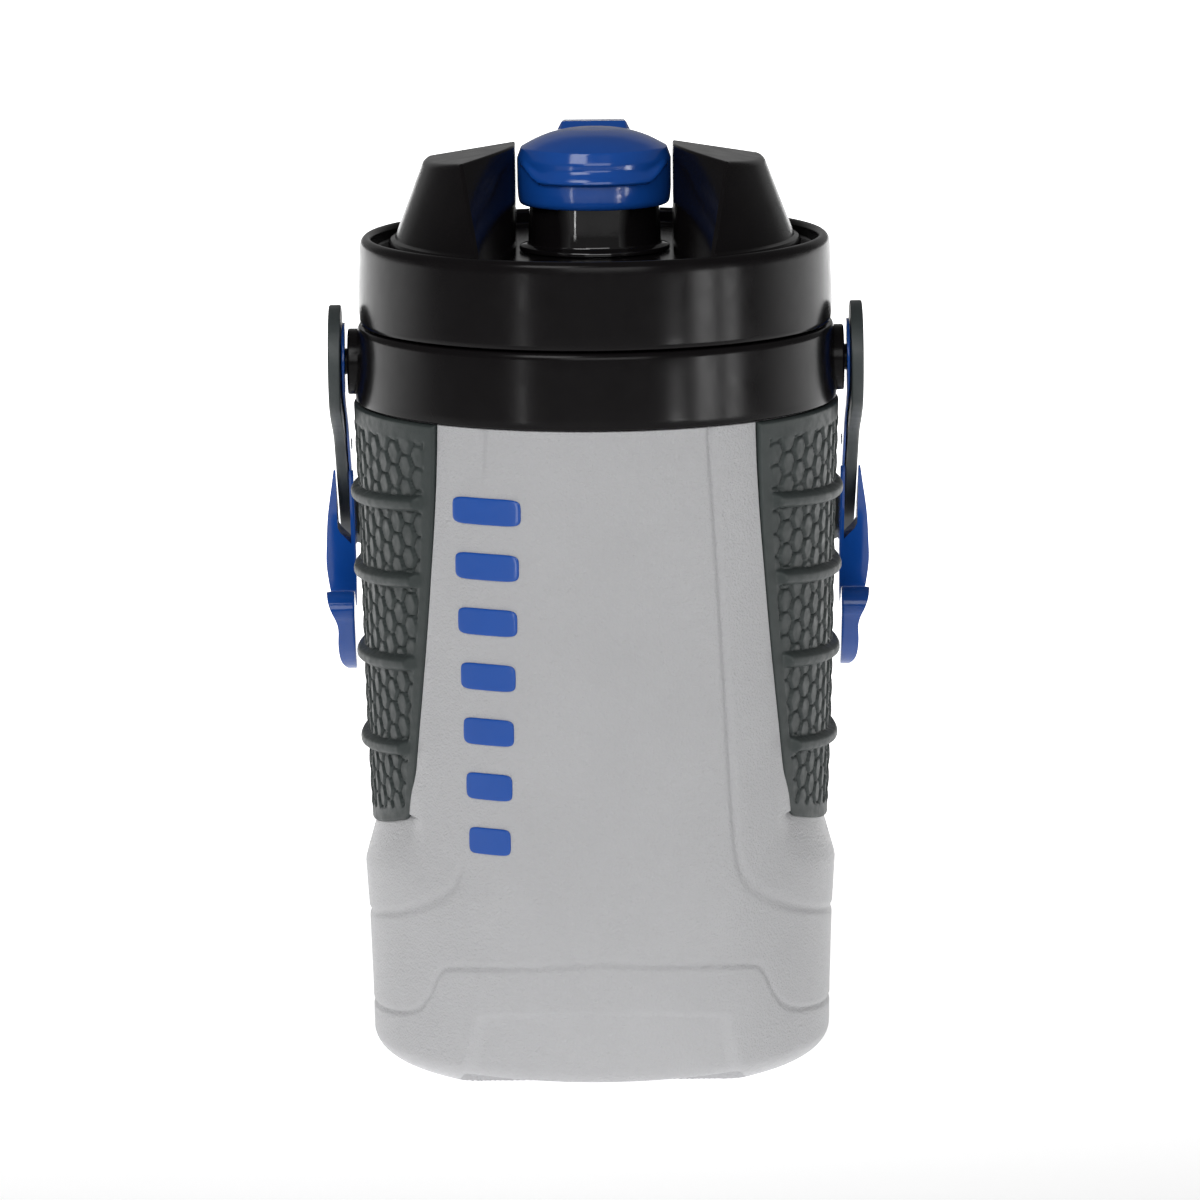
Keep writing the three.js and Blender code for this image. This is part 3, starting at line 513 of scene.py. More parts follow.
def carved(distance, half_width, depth):
    """A rounded groove's depth at a distance from its middle."""
    return depth * (0.5 + 0.5 * np.cos(np.pi * np.clip(distance / half_width, 0, 1)))


def groove_depth(degrees, z):
    """The two grooves round the shell. The upper one stops where the level marks are."""
    front = degrees_from_front(degrees)
    along = np.radians(np.minimum(front, 180 - front)) * SKIN_R
    marks = (np.cos(np.radians(degrees)) < 0) & (front < 90)
    kept = np.where(marks, 1 - smooth(z, 66, 74) + smooth(z, 189, 194), 1)
    panel = carved(path_distance(along, z, along_side(PANEL_GROOVE)), 1.9, 0.8) * kept
    lower = carved(path_distance(along, z, along_side(LOWER_GROOVE)), 1.35, 0.7)
    return panel + lower


def notch(x, y, z):
    """Share of the front and back base panels' depth at a point of the side."""
    reach = 43.2 - (z - NOTCH_RISE) * 0.2
    top = 27.1 - 3.3 * (x / 38) ** 2
    return smooth(reach - np.abs(x), 0, 4) * smooth(top - z, 0, 1.8) * (np.abs(y) > 40)


def side_radius(z):
    """Radius of the plain shell, heel included."""
    heel = BASE_R + (HEEL_R - BASE_R) * np.sqrt(1 - np.clip(1 - z / HEEL_Z, 0, 1) ** 2)
    return np.where(z < HEEL_Z, heel, table(SIDE, z))


def shell_sink(share, beyond, z, level):
    """How far the channel, the scoop below it and the bevel beside it lie below the plain shell.

    share is the part of the way from the side's middle to the channel's edge, beyond the distance outside
    it in mm, and level the height before the lower edge's sweep."""
    plain = side_radius(z)
    recess = np.maximum(plain - grip_radius(z), 0)
    scoop_foot = np.maximum(plain - grip_radius(GRIP_LOW) + 1.3, 0)
    scoop = scoop_foot * np.clip((level - RAMP_LOW) / (GRIP_LOW - RAMP_LOW), 0, 1)
    floor_depth = plain - grip_radius(z) + GRIP_THICK + CHANNEL_GAP
    above = level > GRIP_LOW - CHANNEL_GAP - 0.1
    inside = np.where(above, floor_depth, scoop)
    fall = np.clip(1 - beyond / (4 * recess + 1.2), 0, 1) ** 1.2
    outside = np.where(above, recess, scoop) * fall
    return np.where(share <= 1, inside, outside)


def shell_outside():
    """The shell's outer outline as (radius, height), from the middle of the base up."""
    bottom = np.concatenate([[0, 8, 15], np.arange(17.5, 39, 0.9), [42, 45], np.arange(46, BASE_R, 0.9)])
    heel = np.linspace(0, np.pi / 2, 16)
    heights = np.concatenate([
        np.arange(HEEL_Z + 0.7, 48, 0.7), np.arange(48, 73.5, 0.9), [73.52, 73.66], np.arange(74.4, 86, 1.1),
        np.arange(86, BODY_TOP - 1.5, 2.5), BODY_TOP - np.array([1.2, 0.6, 0.25]),
    ])
    return np.concatenate([
        np.stack([bottom, 0 * bottom], -1),
        np.stack([BASE_R + (HEEL_R - BASE_R) * np.sin(heel), HEEL_Z * (1 - np.cos(heel))], -1),
        np.stack([side_radius(heights), heights], -1),
        [(73.45, BODY_TOP - 0.05), (72.9, BODY_TOP)],
    ])


def shell_inside():
    """The shell's inner outline as (radius, height), from the top down to the middle of the floor."""
    down = [[BODY_TOP - 0.3], np.arange(198, 90, -9), np.arange(88, 58, -2.5), [52, 40, 28, 16]]
    down = np.concatenate(down)
    return np.concatenate([
        [(71.7, BODY_TOP)], np.stack([side_radius(down) - WALL, down], -1),
        [(64, 7.4), (48, 7.4), (44, WALL), (38, WALL)],
        [(r, WALL) for r in np.arange(37, 18, -1.8)], [(0, WALL)],
    ])


def shell_columns(level):
    """Columns that gather at the channels' edges, for rows at these heights.

    Returns each point's angle in degrees, and its share and distance beyond as in shell_sink()."""
    edge = grip_half(np.maximum(level, GRIP_LOW)) + CHANNEL_MARGIN
    rim = edge + np.degrees(np.array([0.12, 0.4, 0.8]) / SKIN_R)
    within = np.linspace(0, 1, 40)
    quadrant = np.concatenate([
        edge * within, rim, rim[:, -1:] + (90 - rim[:, -1:]) * np.linspace(0, 1, 84)[1:],
    ], 1)
    share = quadrant / edge
    share[:, :len(within)] = within
    half = np.concatenate([-quadrant[:, :0:-1], quadrant[:, :-1]], 1)
    share = np.concatenate([share[:, :0:-1], share[:, :-1]], 1)
    degrees, share = np.concatenate([half, half + 180], 1), np.concatenate([share, share], 1)
    edge_mm = np.radians(edge) * SKIN_R
    away = np.degrees(np.arcsin(np.abs(np.sin(np.radians(degrees)))))
    return degrees, share, np.maximum(np.radians(away) * SKIN_R - edge_mm, 0)


def outer_shell():
    outside = shell_outside()
    rows = np.concatenate([outside, shell_inside()])
    inner = (np.arange(len(rows)) >= len(outside))[:, None]
    r, level = rows[:, :1], rows[:, 1:]
    degrees, share, beyond = shell_columns(level)

    sweep = smooth(level, 52, 66) * (1 - smooth(level, 76, 100))
    z = level + GRIP_SWEEP * np.minimum(share, 1) ** 1.6 * sweep
    side = (level > HEEL_Z) & (level < BODY_TOP - 0.1)
    plain = np.where(side, np.where(inner, side_radius(z) - WALL, side_radius(z)), r)
    tall = level > RAMP_LOW
    sink = np.where(tall, shell_sink(share, beyond, z, level), 0)
    soft_sink = np.where(tall, shell_sink(np.minimum(share, 1), beyond * 0, z, level), 0)
    soft_sink = soft_sink * (1 - smooth(beyond, 1.5, 4.5))
    radius = plain - np.where(inner, soft_sink, sink)

    points = polar(radius, degrees, z)
    x, y = points[..., 0], points[..., 1]
    panel = notch(x, y, z) * ~inner
    grooved = np.where(inner, 0, groove_depth(degrees, z))
    radius = radius - np.where(z > 2, grooved + NOTCH_DEPTH * panel * smooth(z, 2, NOTCH_RISE), 0)
    lift = NOTCH_RISE * smooth(44.5 - np.abs(x), 0, 2.5) * smooth(np.abs(y), 47.5, 49)
    z = np.where(inner, z, np.maximum(z, np.where(z < NOTCH_RISE, lift, 0)))
    pocket = 1 - smooth(np.hypot(x, y - PLUG_Y), PLUG_HOLE - 0.35, PLUG_HOLE + 0.35)
    z = z + np.where(level < 3, np.where(inner, 0.5, 2.2), 0) * pocket
    return skin("shell_body", polar(radius, degrees, z), SHELL, sharp=50)


def fill_plug():
    low, high = span("foam_fill_plug")
    top = high[2] - 0.2
    corners = [(0, low[2]), (8.6, low[2], 0.5), (8.6, top, 0.3), (0, top)]
    made = turned("fill_plug", corners, SHELL, columns=64)
    made.data.transform(Matrix.Translation((0, PLUG_Y * MM, 0)))
    return made


MARKS, MARK_TOP_Z, MARK_STEP = 7, 180.5, 16.9
MARK_HALF_WIDE, MARK_NARROWING, MARK_HALF_TALL = 11.6, 0.75, 4.1
MARK_DEGREES = -90 - 27.2


def level_marks():
    """Seven raised bars down the front left, each narrower than the one above."""
    bars = []
    turn = np.arange(72) * 2 * np.pi / 72
    for place in range(MARKS):
        half_wide = MARK_HALF_WIDE - MARK_NARROWING * place
        z_middle = MARK_TOP_Z - MARK_STEP * place
        round_x = np.sign(np.cos(turn)) * np.abs(np.cos(turn)) ** 0.28 * half_wide
        round_z = np.sign(np.sin(turn)) * np.abs(np.sin(turn)) ** 0.4 * MARK_HALF_TALL
        reach = np.array([0, 0.3, 0.6, 0.85, 0.94, 0.975, 0.993, 1, 1, 0])[:, None]
        proud = np.array([0.45, 0.45, 0.45, 0.45, 0.45, 0.41, 0.3, 0.12, -0.3, -0.3])[:, None]
        z = z_middle + reach * round_z
        degrees = MARK_DEGREES + np.degrees(reach * round_x / SKIN_R)
        bars.append(polar(side_radius(z) + proud, degrees, z))
    return skin("level_marks", bars, BLUE)


fit(outer_shell(), "jug", "shell_grey", "outer_shell")
fit(fill_plug(), "jug", "shell_grey", "foam_fill_plug")
marks = level_marks()
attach(marks, "jug")


# ------------------------------ grips

PLATE = 7.1  # scale plates, flat to flat
RIBS = [177.3, 153.2, 127.1, 100]  # heights at the middle of the grip
RIB_PROUD, RIB_HALF = 2.3, 2.35
RIB_CLIMB = 4.2  # the ribs' ends stand this much higher than their middles
BORDER = 4.3  # plain edge round the scales


def plates(x, z):
    """Height of a field of flat six-sided scales, each tilted a little, with narrow grooves between them."""
    column = PLATE * math.sqrt(3) / 2
    best = None
    for shift in (0, 1):
        cx = (np.round(x / column / 2 - shift / 2) + shift / 2) * 2 * column
        cz = (np.round(z / PLATE - shift / 2) + shift / 2) * PLATE
        dx, dz = x - cx, z - cz
        slant = column / PLATE
        flat = np.maximum(np.abs(dz), np.maximum(np.abs(slant * dx + dz / 2), np.abs(slant * dx - dz / 2)))
        across = 0.72 * flat + 0.28 * np.hypot(dx, dz) * 0.94
        if best is None:
            best, lean = across, dx
        else:
            lean = np.where(across < best, dx, lean)
            best = np.minimum(across, best)
    edge = PLATE / 2 - best
    return 0.6 * smooth(edge, 0.02, 0.6) + 0.06 * (1 - (best / PLATE * 2) ** 2) + 0.11 * lean * np.sign(x)


def grip_relief(x, z, edge_x, foot):
    """Height of the grip's face over its plain radius: ribs, border and scales. x is mm from the middle."""
    share = np.abs(x) / edge_x
    inward = np.minimum(edge_x - np.abs(x), np.minimum(z - foot, GRIP_TOP - z - 1.2))
    field = smooth(inward, BORDER, BORDER + 0.6)
    rib = 0 * x
    clear = np.ones_like(x)
    for height in RIBS:
        t = (z - height - RIB_CLIMB * share ** 1.5) / RIB_HALF
        shape = np.clip(1 - np.abs(t * 1.02 + 0.06) ** 2.6, 0, 1) ** 0.62
        end = smooth(edge_x - np.abs(x), BORDER, 7.4)
        rib = np.maximum(rib, RIB_PROUD * shape * end)
        clear = np.minimum(clear, smooth(np.abs(t), 1.02, 1.3))
    scales = (plates(x, z) - 0.75) * field * clear
    border = -0.25 * (1 - clear) * field
    return rib + scales + np.where(rib > 0, 0, border)


def grip(name):
    """The right-hand grip."""
    edge_steps = [0, 0.08, 0.25, 0.5, 0.8, 1.2]
    mm = np.concatenate([edge_steps, np.arange(1.7, 56, 0.5)])
    u = np.concatenate([-1 + mm / 56.2, [0], (1 - mm / 56.2)[::-1]])
    rise = np.concatenate([edge_steps, np.arange(1.7, 129, 0.5), [129.6, 130.2, 130.6, 130.9]])
    w = np.append(rise, GRIP_TOP - GRIP_LOW)[:, None] / (GRIP_TOP - GRIP_LOW)
    share = np.abs(u)[None]
    from_side = (1 - share) * 45
    corner = 5 - np.sqrt(np.maximum(25 - np.maximum(5 - from_side, 0) ** 2, 0))
    foot = GRIP_LOW + GRIP_SWEEP * share ** 1.6 * 0.82 + corner * 0.9
    z = foot + (GRIP_TOP - foot) * w
    half = grip_half(z)
    x = np.radians(u * half) * SKIN_R
    edge_x = np.radians(half) * SKIN_R
    radius = grip_radius(z)
    rim = np.minimum(np.minimum(edge_x - np.abs(x), z - foot), GRIP_TOP - z)
    roll = 0.9 - np.sqrt(np.maximum(0.81 - np.maximum(0.9 - rim, 0) ** 2, 0))
    face = polar(radius + grip_relief(x, z, edge_x, foot) * smooth(rim, 0, 1.5) - roll, u * half, z)
    back_u = np.linspace(1, -1, 15)
    back_foot = np.interp(back_u, u, foot[0])
    back_z = back_foot + (GRIP_TOP - back_foot) * w
    back = polar(grip_radius(back_z) - GRIP_THICK, back_u * grip_half(back_z), back_z)
    return skin(name, np.concatenate([face, back], 1), RUBBER, caps=True, sharp=60)


right_grip = grip("grip_pad_right")
left_grip = bpy.data.objects.new("grip_pad_left", right_grip.data)
left_grip.rotation_euler.z = math.pi
bpy.context.scene.collection.objects.link(left_grip)
fit(right_grip, "jug", "grip_rubber", "grip_right")
fit(left_grip, "jug", "grip_rubber", "grip_left")


# ------------------------------ liner, collar and threads

THREAD_LEAD, THREAD_TURNS, THREAD_LOW = 12, 0.52, 231.8


def thread_ridge(root, crest, shift, start, material):
    """One helical ridge. A shift below 0 lowers it and leaves out its first turns, so none lies too low."""
    u = np.linspace(0, 1, 90)[:, None]
    turns = -shift / THREAD_LEAD + u * THREAD_TURNS
    fade = np.minimum(1, np.minimum(u, 1 - u) * 8)
    height = THREAD_LOW + shift + turns * THREAD_LEAD
    out = math.copysign(1, crest - root)
    across = np.array([-1.2, -0.85, -0.5, 0.5, 0.85, 1.2])
    proud = np.array([0, 0.55, 1, 1, 0.55, 0])
    radius = root - out * 0.4 + (abs(crest - root) * (0.15 + 0.85 * fade) + 0.4) * proud * out
    radius = np.concatenate([radius, np.full_like(u, root - out * 0.9)], 1)
    z = height + np.append(across, 0) * (0.5 + 0.5 * fade)
    return skin("ridge", polar(radius, 360 * (turns + start / 2), z), material, caps=True)


def neck_thread(piece, root, crest, shift, material):
    return combine(piece, [thread_ridge(root, crest, shift, start, material) for start in (0, 1)], "UNION")


def inner_liner():
    low, high = span("inner_liner")
    return turned("liner_vessel", [
        (0, low[2]), (51.2, low[2], 3), (57.2, 17, 3), (59.2, 23, 3), (59.2, 242.3, 0.8), (66.2, 242.3, 0.3),
        (66.2, high[2], 0.4), (57, high[2], 1.2), (57, 24, 4), (50, 17, 4), (0, 17),
    ], LINER, columns=192, step=8)


def collar():
    made = turned("collar_neck_ring", [
        (63, 199), (66, 199), (66, 226.3, 1), (71.4, 226.3, 1), (71.4, 206, 0.3), (74.25, 206, 0.45),
        (74.5, 208, 1), (73.75, 227.9, 0.9), (72.9, 229.2, 0.7), (66.6, 229.2, 0.6), (66.6, 240.5),
        (63, 240.5),
    ], BLACK, columns=240, step=4)
    neck_thread(made, 66.6, 68.4, 0, BLACK)
    bosses = [rod(10.2, *ends, 0, PIVOT_Z, BLACK, rounding=0.7) for ends in ((70, 76.6), (-76.6, -70))]
    combine(made, bosses, "UNION")
    holes = [rod(4.3, *ends, 0, PIVOT_Z, BLACK) for ends in ((68.65, 80), (-80, -68.65))]
    return combine(made, holes, "DIFFERENCE")


def pivot_pin(side):
    """A stepped pin whose domed head has a shallow driver recess."""
    corners = [(0, 69), (4, 69), (4, 80.75), (6.5, 80.75), (6.5, 82.1), (3, 82.2), (2.6, 81.4), (0, 81.4)]
    outline = soften(corners, [0, 0.5, 0.1, 0.2, 0.5, 0.1, 0.2, 0], closed=False) * (1, side)
    return turned_about_x("pin_right" if side > 0 else "pin_left", outline, 0, PIVOT_Z, BLACK)


fit(inner_liner(), "jug", "liner_white", "inner_liner")
fit(collar(), "jug", "black_gloss", "collar_ring")
fit(turned("collar_o_ring", [(63.5, 240.85), (65.5, 240.85), (65.5, 241.95), (63.5, 241.95)], SILICONE,
           radius=0.55, columns=192), "jug", "silicone", "collar_seal")
fit(pivot_pin(1), "jug", "black_gloss", "pivot_pin_right")
fit(pivot_pin(-1), "jug", "black_gloss", "pivot_pin_left")


# ------------------------------ lid

SKIRT_BORE = 69.3
WING_SIDE = [(249.8, 63.9), (254.4, 63.6), (255.6, 62.9), (256.2, 61.5), (278, 53.15), (280.2, 52.3)]
WING_SHOULDER_X, WING_SHOULDER_Z, WING_PEAK_X, WING_PEAK_Z = 52.4, 280, 23, 284.6
WING_FALL_Y, WING_FALL = 8, math.tan(math.radians(14))  # behind this the roofs slope down
CHANNEL_HALF = 24.2  # half the gap between the wings beside the cap
CHANNEL_STRAIGHT, CHANNEL_MOUTH, CHANNEL_FLARE = (12, 3), (52, 34), (9.5, 15.3)  # at the deck, the shoulder
CHANNEL_STRAIGHT_REAR = 22  # the rear flare starts here at every height


def wing_roof(x, y):
    """Height of a wing's roof, which climbs inwards and falls away behind."""
    slope = (WING_PEAK_Z - WING_SHOULDER_Z) / (WING_SHOULDER_X - WING_PEAK_X)
    ridge = WING_SHOULDER_Z + (WING_SHOULDER_X - x) * slope
    behind = np.maximum(y - WING_FALL_Y, 0)
    return ridge - WING_FALL * behind ** 2 / (behind + 3)


def channel_wall(y, z):
    """Half the gap between the wings at a place along it. It flares to its mouths, and more so higher up."""
    climb = (z - DECK) / (WING_SHOULDER_Z - DECK)
    ends = (CHANNEL_STRAIGHT, CHANNEL_MOUTH, CHANNEL_FLARE)
    straight, mouth, flare = [low + (high - low) * climb for low, high in ends]
    straight = np.where(y > 0, CHANNEL_STRAIGHT_REAR, straight)
    return CHANNEL_HALF + flare * (np.maximum(np.abs(y) - straight, 0) / (mouth - straight)) ** 1.5


def wing_tip(z):
    """Where the channel's wall meets the wing's outer side at a height."""
    low, high = 0 * z + 20.0, 0 * z + 64.0
    for _ in range(40):
        middle = (low + high) / 2
        outside = np.hypot(channel_wall(middle, z), middle) > table(WING_SIDE, z)
        low, high = np.where(outside, low, middle), np.where(outside, middle, high)
    return low


def wing(side):
    """One wing, skinned over sections from its rear tip to its front tip."""
    u = np.sin(np.linspace(-1, 1, 90) * np.pi / 2) * 0.985

    def outer(z):
        y = wing_tip(z)
        angle = np.arctan2(y, channel_wall(y, z)) * u
        return np.stack([table(WING_SIDE, z) * np.cos(angle), table(WING_SIDE, z) * np.sin(angle), z], -1)

    def inner(z):
        y = wing_tip(z) * u
        return np.stack([channel_wall(y, z), y, z], -1)

    level = np.ones_like(u)
    outer_top = wing_roof(*outer(level * 279)[:, :2].T)
    inner_top = wing_roof(*inner(level * 281)[:, :2].T)
    heights = [249.8, 252.5, 254.4, 255.6, 256.2, 261, 266, 271]
    corners = [outer(level * z) for z in heights] + [outer(outer_top), inner(inner_top)]
    corners += [inner(level * z) for z in (271, 265, 259, 254, 251.8, 249.8)]
    radii = [0] * len(heights) + [1.7, 1.0] + [0] * 6
    grid = soften(corners, radii, steps=8)
    roof = len(heights) + 8
    shelf = grid[roof] + (grid[roof + 1] - grid[roof]) * np.linspace(0, 1, 7)[1:-1, None, None]
    grid = np.concatenate([grid[:roof + 1], shelf, grid[roof + 1:]])
    grid[..., 0] *= side
    return skin("wing", grid.transpose(1, 0, 2), BLACK, caps=True)


def slab(corners, radii, x0, x1, bevel, material):
    """A plate with an outline in the YZ plane, from x0 to x1, with its edges eased by a bevel."""
    outline = soften(corners, radii)
    middle = outline.mean(0)
    size = np.abs(outline - middle).max()
    grid = []
    for x, inset in ((x0, bevel), (x0 + bevel * 0.3, bevel * 0.3), (x0 + bevel, 0),
                     (x1 - bevel, 0), (x1 - bevel * 0.3, bevel * 0.3), (x1, bevel)):
        ring = middle + (outline - middle) * (1 - inset / size)
        grid.append(np.concatenate([np.full((len(ring), 1), x), ring], 1))
    return skin("slab", np.array(grid), material, caps=True)


def lid():
    rim_in = 68.8
    cover = turned("lid_cover", [
        (20.35, 249.2, 0.2), (67.8, 249.2, 0.5), (SKIRT_BORE, 247.7, 0.5), (SKIRT_BORE, 229.8, 0.3),
        (72.8, 229.8, 0.4), (73.3, 231, 0.5), (72.55, 253.3, 1), (72.2, 255.3, 0.9), (71, 256.5, 0.9),
        (69.7, 256.5, 0.7), (rim_in, 255.4, 0.6), (rim_in, DECK, 1.2), (20.35, DECK, 0.4),
    ], BLACK, columns=240, step=3.2)
    neck_thread(cover, SKIRT_BORE, 67.35, -3, BLACK)
    top = HINGE_Z + 4
    side = [(HINGE_Y - 6, DECK - 1), (HINGE_Y + 8, DECK - 1), (HINGE_Y + 4, HINGE_Z), (HINGE_Y + 4, top),
            (HINGE_Y - 4, top), (HINGE_Y - 4, HINGE_Z)]
    lugs = [slab(side, [0, 0, 2, 3.4, 3.4, 2], *ends, 0.5, BLACK) for ends in ((12.35, 17), (-17, -12.35))]
    combine(cover, [wing(1), wing(-1), *lugs], "UNION")
    pin_hole = rod(1.75, -18, 18, HINGE_Y, HINGE_Z, BLACK, rounding=0)
    scallops = [rod(18.5, *ends, 0, PIVOT_Z, BLACK, rounding=0, columns=96)
                for ends in ((71.2, 95), (-95, -71.2))]
    return combine(cover, [pin_hole, *scallops], "DIFFERENCE")


def spout():
    return turned("spout_pipe", [
        (16.5, 247.6), (20, 247.6), (20, DECK + 0.35, 0.1), (23.2, DECK + 0.35, 0.3), (23.2, 253.1, 0.5),
        (20.5, 253.9, 0.6), (19.7, SPOUT_LIP - 1.5, 0.6), (18.9, SPOUT_LIP, 0.8), (17.1, SPOUT_LIP, 0.6),
        (16.5, SPOUT_LIP - 0.9, 0.6),
    ], BLACK_GLOSS, columns=144, step=5)


def inner_plate():
    return turned("lid_liner_plate", [
        (16, 236), (54.1, 236, 0.8), (55.6, 237.5, 0.8), (55.6, 247, 0.4), (67.6, 247, 0.3),
        (67.6, 248.8, 0.3), (53.8, 248.8, 0.6), (53.8, 237.8, 0.8), (18.5, 237.8, 0.8), (18.5, 245.4),
        (16, 245.4),
    ], LINER, columns=160, step=6)


fit(lid(), "lid", "black_gloss", "lid_shell")
fit(spout(), "lid", "black_gloss", "spout_tube")
fit(inner_plate(), "lid", "liner_white", "lid_inner_plate")
fit(turned("spout_washer", [(16.7, 245.75), (19.7, 245.75), (19.7, 247.25), (16.7, 247.25)], SILICONE,
           columns=96), "lid", "silicone", "spout_gasket")
fit(turned("lip_gasket", [
    (61, 244.65), (63.4, 244.65), (66.4, 245.45), (66.4, 246.65), (56.8, 246.65), (56.8, 245.45),
], SILICONE, radius=0.4, columns=192), "lid_seal", "silicone", "lid_gasket")
hinge_pin = rod(1.5, -16.7, 16.7, HINGE_Y, HINGE_Z, STEEL, rounding=0.4, columns=32)
hinge_pin.name = "cap_pin"
fit(hinge_pin, "lid", "steel_pin", "cap_hinge_pin")


# ------------------------------ flip cap

CAP_R, CAP_SHOULDER = 23.8, 283.6
CAP_TUCK = 280.5  # below this the skirt rises towards the back


def cap_shape(r, z, degrees):
    """The thumb ledge across the front, and the skirt cut away behind so that it clears the spout."""
    front = degrees_from_front(degrees)
    reach = np.clip(1 - (front / 72) ** 2, 0, 1) ** 0.7
    ledge = 273.5 + 4.6 * smooth(front, 40, 68)
    crescent = smooth(z, ledge, ledge + 0.7) * (1 - smooth(z, ledge + 1, ledge + 1.6 + 3.6 * reach))
    r = r + 1.95 * reach * crescent * (r > 22.9)
    y = r * np.sin(np.radians(degrees))
    cut = CAP_LOW + np.clip((y + 3) / 28, 0, 1) * 16
    lifted = CAP_TUCK - (CAP_TUCK - z) * (CAP_TUCK - cut) / (CAP_TUCK - CAP_LOW)
    return r, np.where(z < CAP_TUCK, np.minimum(lifted, CAP_TUCK), z)


def cap():
    dome = turned("cap_dome", [
        (0, 279.6), (20.5, 279.6, 0.3), (21.3, 278.6, 0.3), (21.3, CAP_LOW, 0.2), (22.6, CAP_LOW, 1),
        (23.5, 267.3, 1.2), (CAP_R - 0.1, 270.5, 0.5), (CAP_R - 0.05, 280.2, 0.6), (22.5, CAP_SHOULDER, 0.3),
        (18.2, 286.0, 2.5), (13.4, 287.9, 3), (8, 289.05, 2), (0, 289.45),
    ], BLUE, columns=240, step=0.45, shape=cap_shape)
    y = np.array([15.5, 16.5, 20, 24, 28, 30, 32.4, 34, 35.6, 36.6])
    high = np.interp(y, [15.5, 20, 30, 36.6], [285.6, 289.2, 288.7, 279.6])
    low = np.interp(y, [15.5, 24, 28.9, 29.1, 36.6], [280.5, 280.5, 278.7, 274.2, 274.2])
    wide = np.interp(y, [15.5, 30, 32.4, 36.6], [14.2, 14.2, 11.9, 11.9])
    slim = np.interp(y, [15.5, 30, 36.6], [9.9, 9.9, 11.5])
    corners = np.array([[-wide, y, low], [wide, y, low], [slim, y, high], [-slim, y, high]])
    arm = bar("arm", corners.transpose(0, 2, 1), [0.5, 0.5, 0.9, 0.9], BLUE)
    knuckle = rod(4, -12, 12, HINGE_Y, HINGE_Z, BLUE, rounding=0.4)
    combine(dome, [arm, knuckle], "UNION")
    return combine(dome, [rod(1.85, -14, 14, HINGE_Y, HINGE_Z, BLUE, rounding=0)], "DIFFERENCE")


fit(cap(), "cap", "blue_gloss", "flip_cap")
fit(turned("cap_stopper", [
    (0, 270), (14, 270, 0.6), (15.3, 271.5, 0.6), (15.3, 274.35, 0.2), (20.3, 274.35, 0.4),
    (20.3, 279.25, 0.4), (0, 279.25),
], SILICONE, columns=96), "cap", "silicone", "cap_seal")


# ------------------------------ bail handle and hooks

ARM_OUT, ARM_IN = 82.3, 78.6
ARM_HALF, EYE_R = 8, 17.5
BAR_IN, BAR_OUT = 100.5, 105.5
RIVET_Z = 52
PIN_HOLE, RIVET_HOLE = (4.35, 0), (2.0, RIVET_Z)  # radius, height
STRAP_IN, STRAP_OUT = 77.4, 78.25
HOOK_IN, HOOK_OUT = 77, 86.55


def park(piece):
    """Turns a piece from the handle's upright frame to its place at rest."""
    x, y, z = np.array([v.co for v in piece.data.vertices]).T / MM
    laid = np.stack([x, y * math.cos(PARKED) - z * math.sin(PARKED),
                     y * math.sin(PARKED) + z * math.cos(PARKED) + PIVOT_Z], -1)
    piece.data.vertices.foreach_set("co", (laid * MM).astype(np.float32).ravel())
    piece.data.update()
    return piece


def eye_half(z, radius, half, neck):
    """Half the width of an arm with a round eye at its foot."""
    below = np.sqrt(np.maximum(radius ** 2 - np.minimum(z, 0) ** 2, 0.04))
    t = np.clip(z / neck, 0, 1)
    return np.where(z < 0, below, radius + (half - radius) * (t * t * (3 - 2 * t) * 0.6 + t * 0.4))


def bail():
    """The arms with their eyes, and the bar, as one bent strip."""
    middle = (ARM_OUT + ARM_IN) / 2
    bar_z = (BAR_IN + BAR_OUT) / 2
    foot = -EYE_R * np.cos(np.linspace(0, np.pi / 2, 16))
    arm = np.concatenate([foot, np.linspace(0, 90, 46)[1:]])
    t = np.linspace(0, 1, 14)[1:]
    bend_x = (1 - t) ** 2 * middle + 2 * t * (1 - t) * middle + t * t * (middle - 13)
    bend_z = (1 - t) ** 2 * 90 + 2 * t * (1 - t) * bar_z + t * t * bar_z
    half_x = np.concatenate([np.full(len(arm), middle), bend_x, np.linspace(middle - 13, 0, 12)[1:]])
    half_z = np.concatenate([arm, bend_z, np.full(11, bar_z)])
    half_w = np.concatenate([eye_half(arm, EYE_R, ARM_HALF, 38), np.full(len(t) + 11, ARM_HALF)])
    x = np.concatenate([half_x, -half_x[-2::-1]])
    z, wide = np.concatenate([half_z, half_z[-2::-1]]), np.concatenate([half_w, half_w[-2::-1]])
    direction = np.stack([np.gradient(x), np.gradient(z)], -1)
    direction /= np.linalg.norm(direction, axis=1, keepdims=True)
    normal = np.stack([direction[:, 1], -direction[:, 0]], -1)
    thick = np.where(np.abs(z - bar_z) < 8, 1.85 + 0.65 * smooth(z, 92, bar_z), 1.85)
    corners = []
    for across, out in ((-1, -1), (1, -1), (1, 1), (-1, 1)):
        offset = out * thick
        corners.append(np.stack([x + normal[:, 0] * offset, across * wide, z + normal[:, 1] * offset], -1))
    made = bar("bail_arm_and_bar", np.array(corners), [0.6] * 4, HANDLE)
    holes = []
    for side in (1, -1):
        for (radius, height), start in ((PIN_HOLE, 70), ((6.85, 0), ARM_OUT - 1.95), (RIVET_HOLE, 70)):
            ends = sorted((side * start, side * 90))
            holes.append(rod(radius, *ends, 0, height, HANDLE, rounding=0))
    return park(combine(made, holes, "DIFFERENCE"))


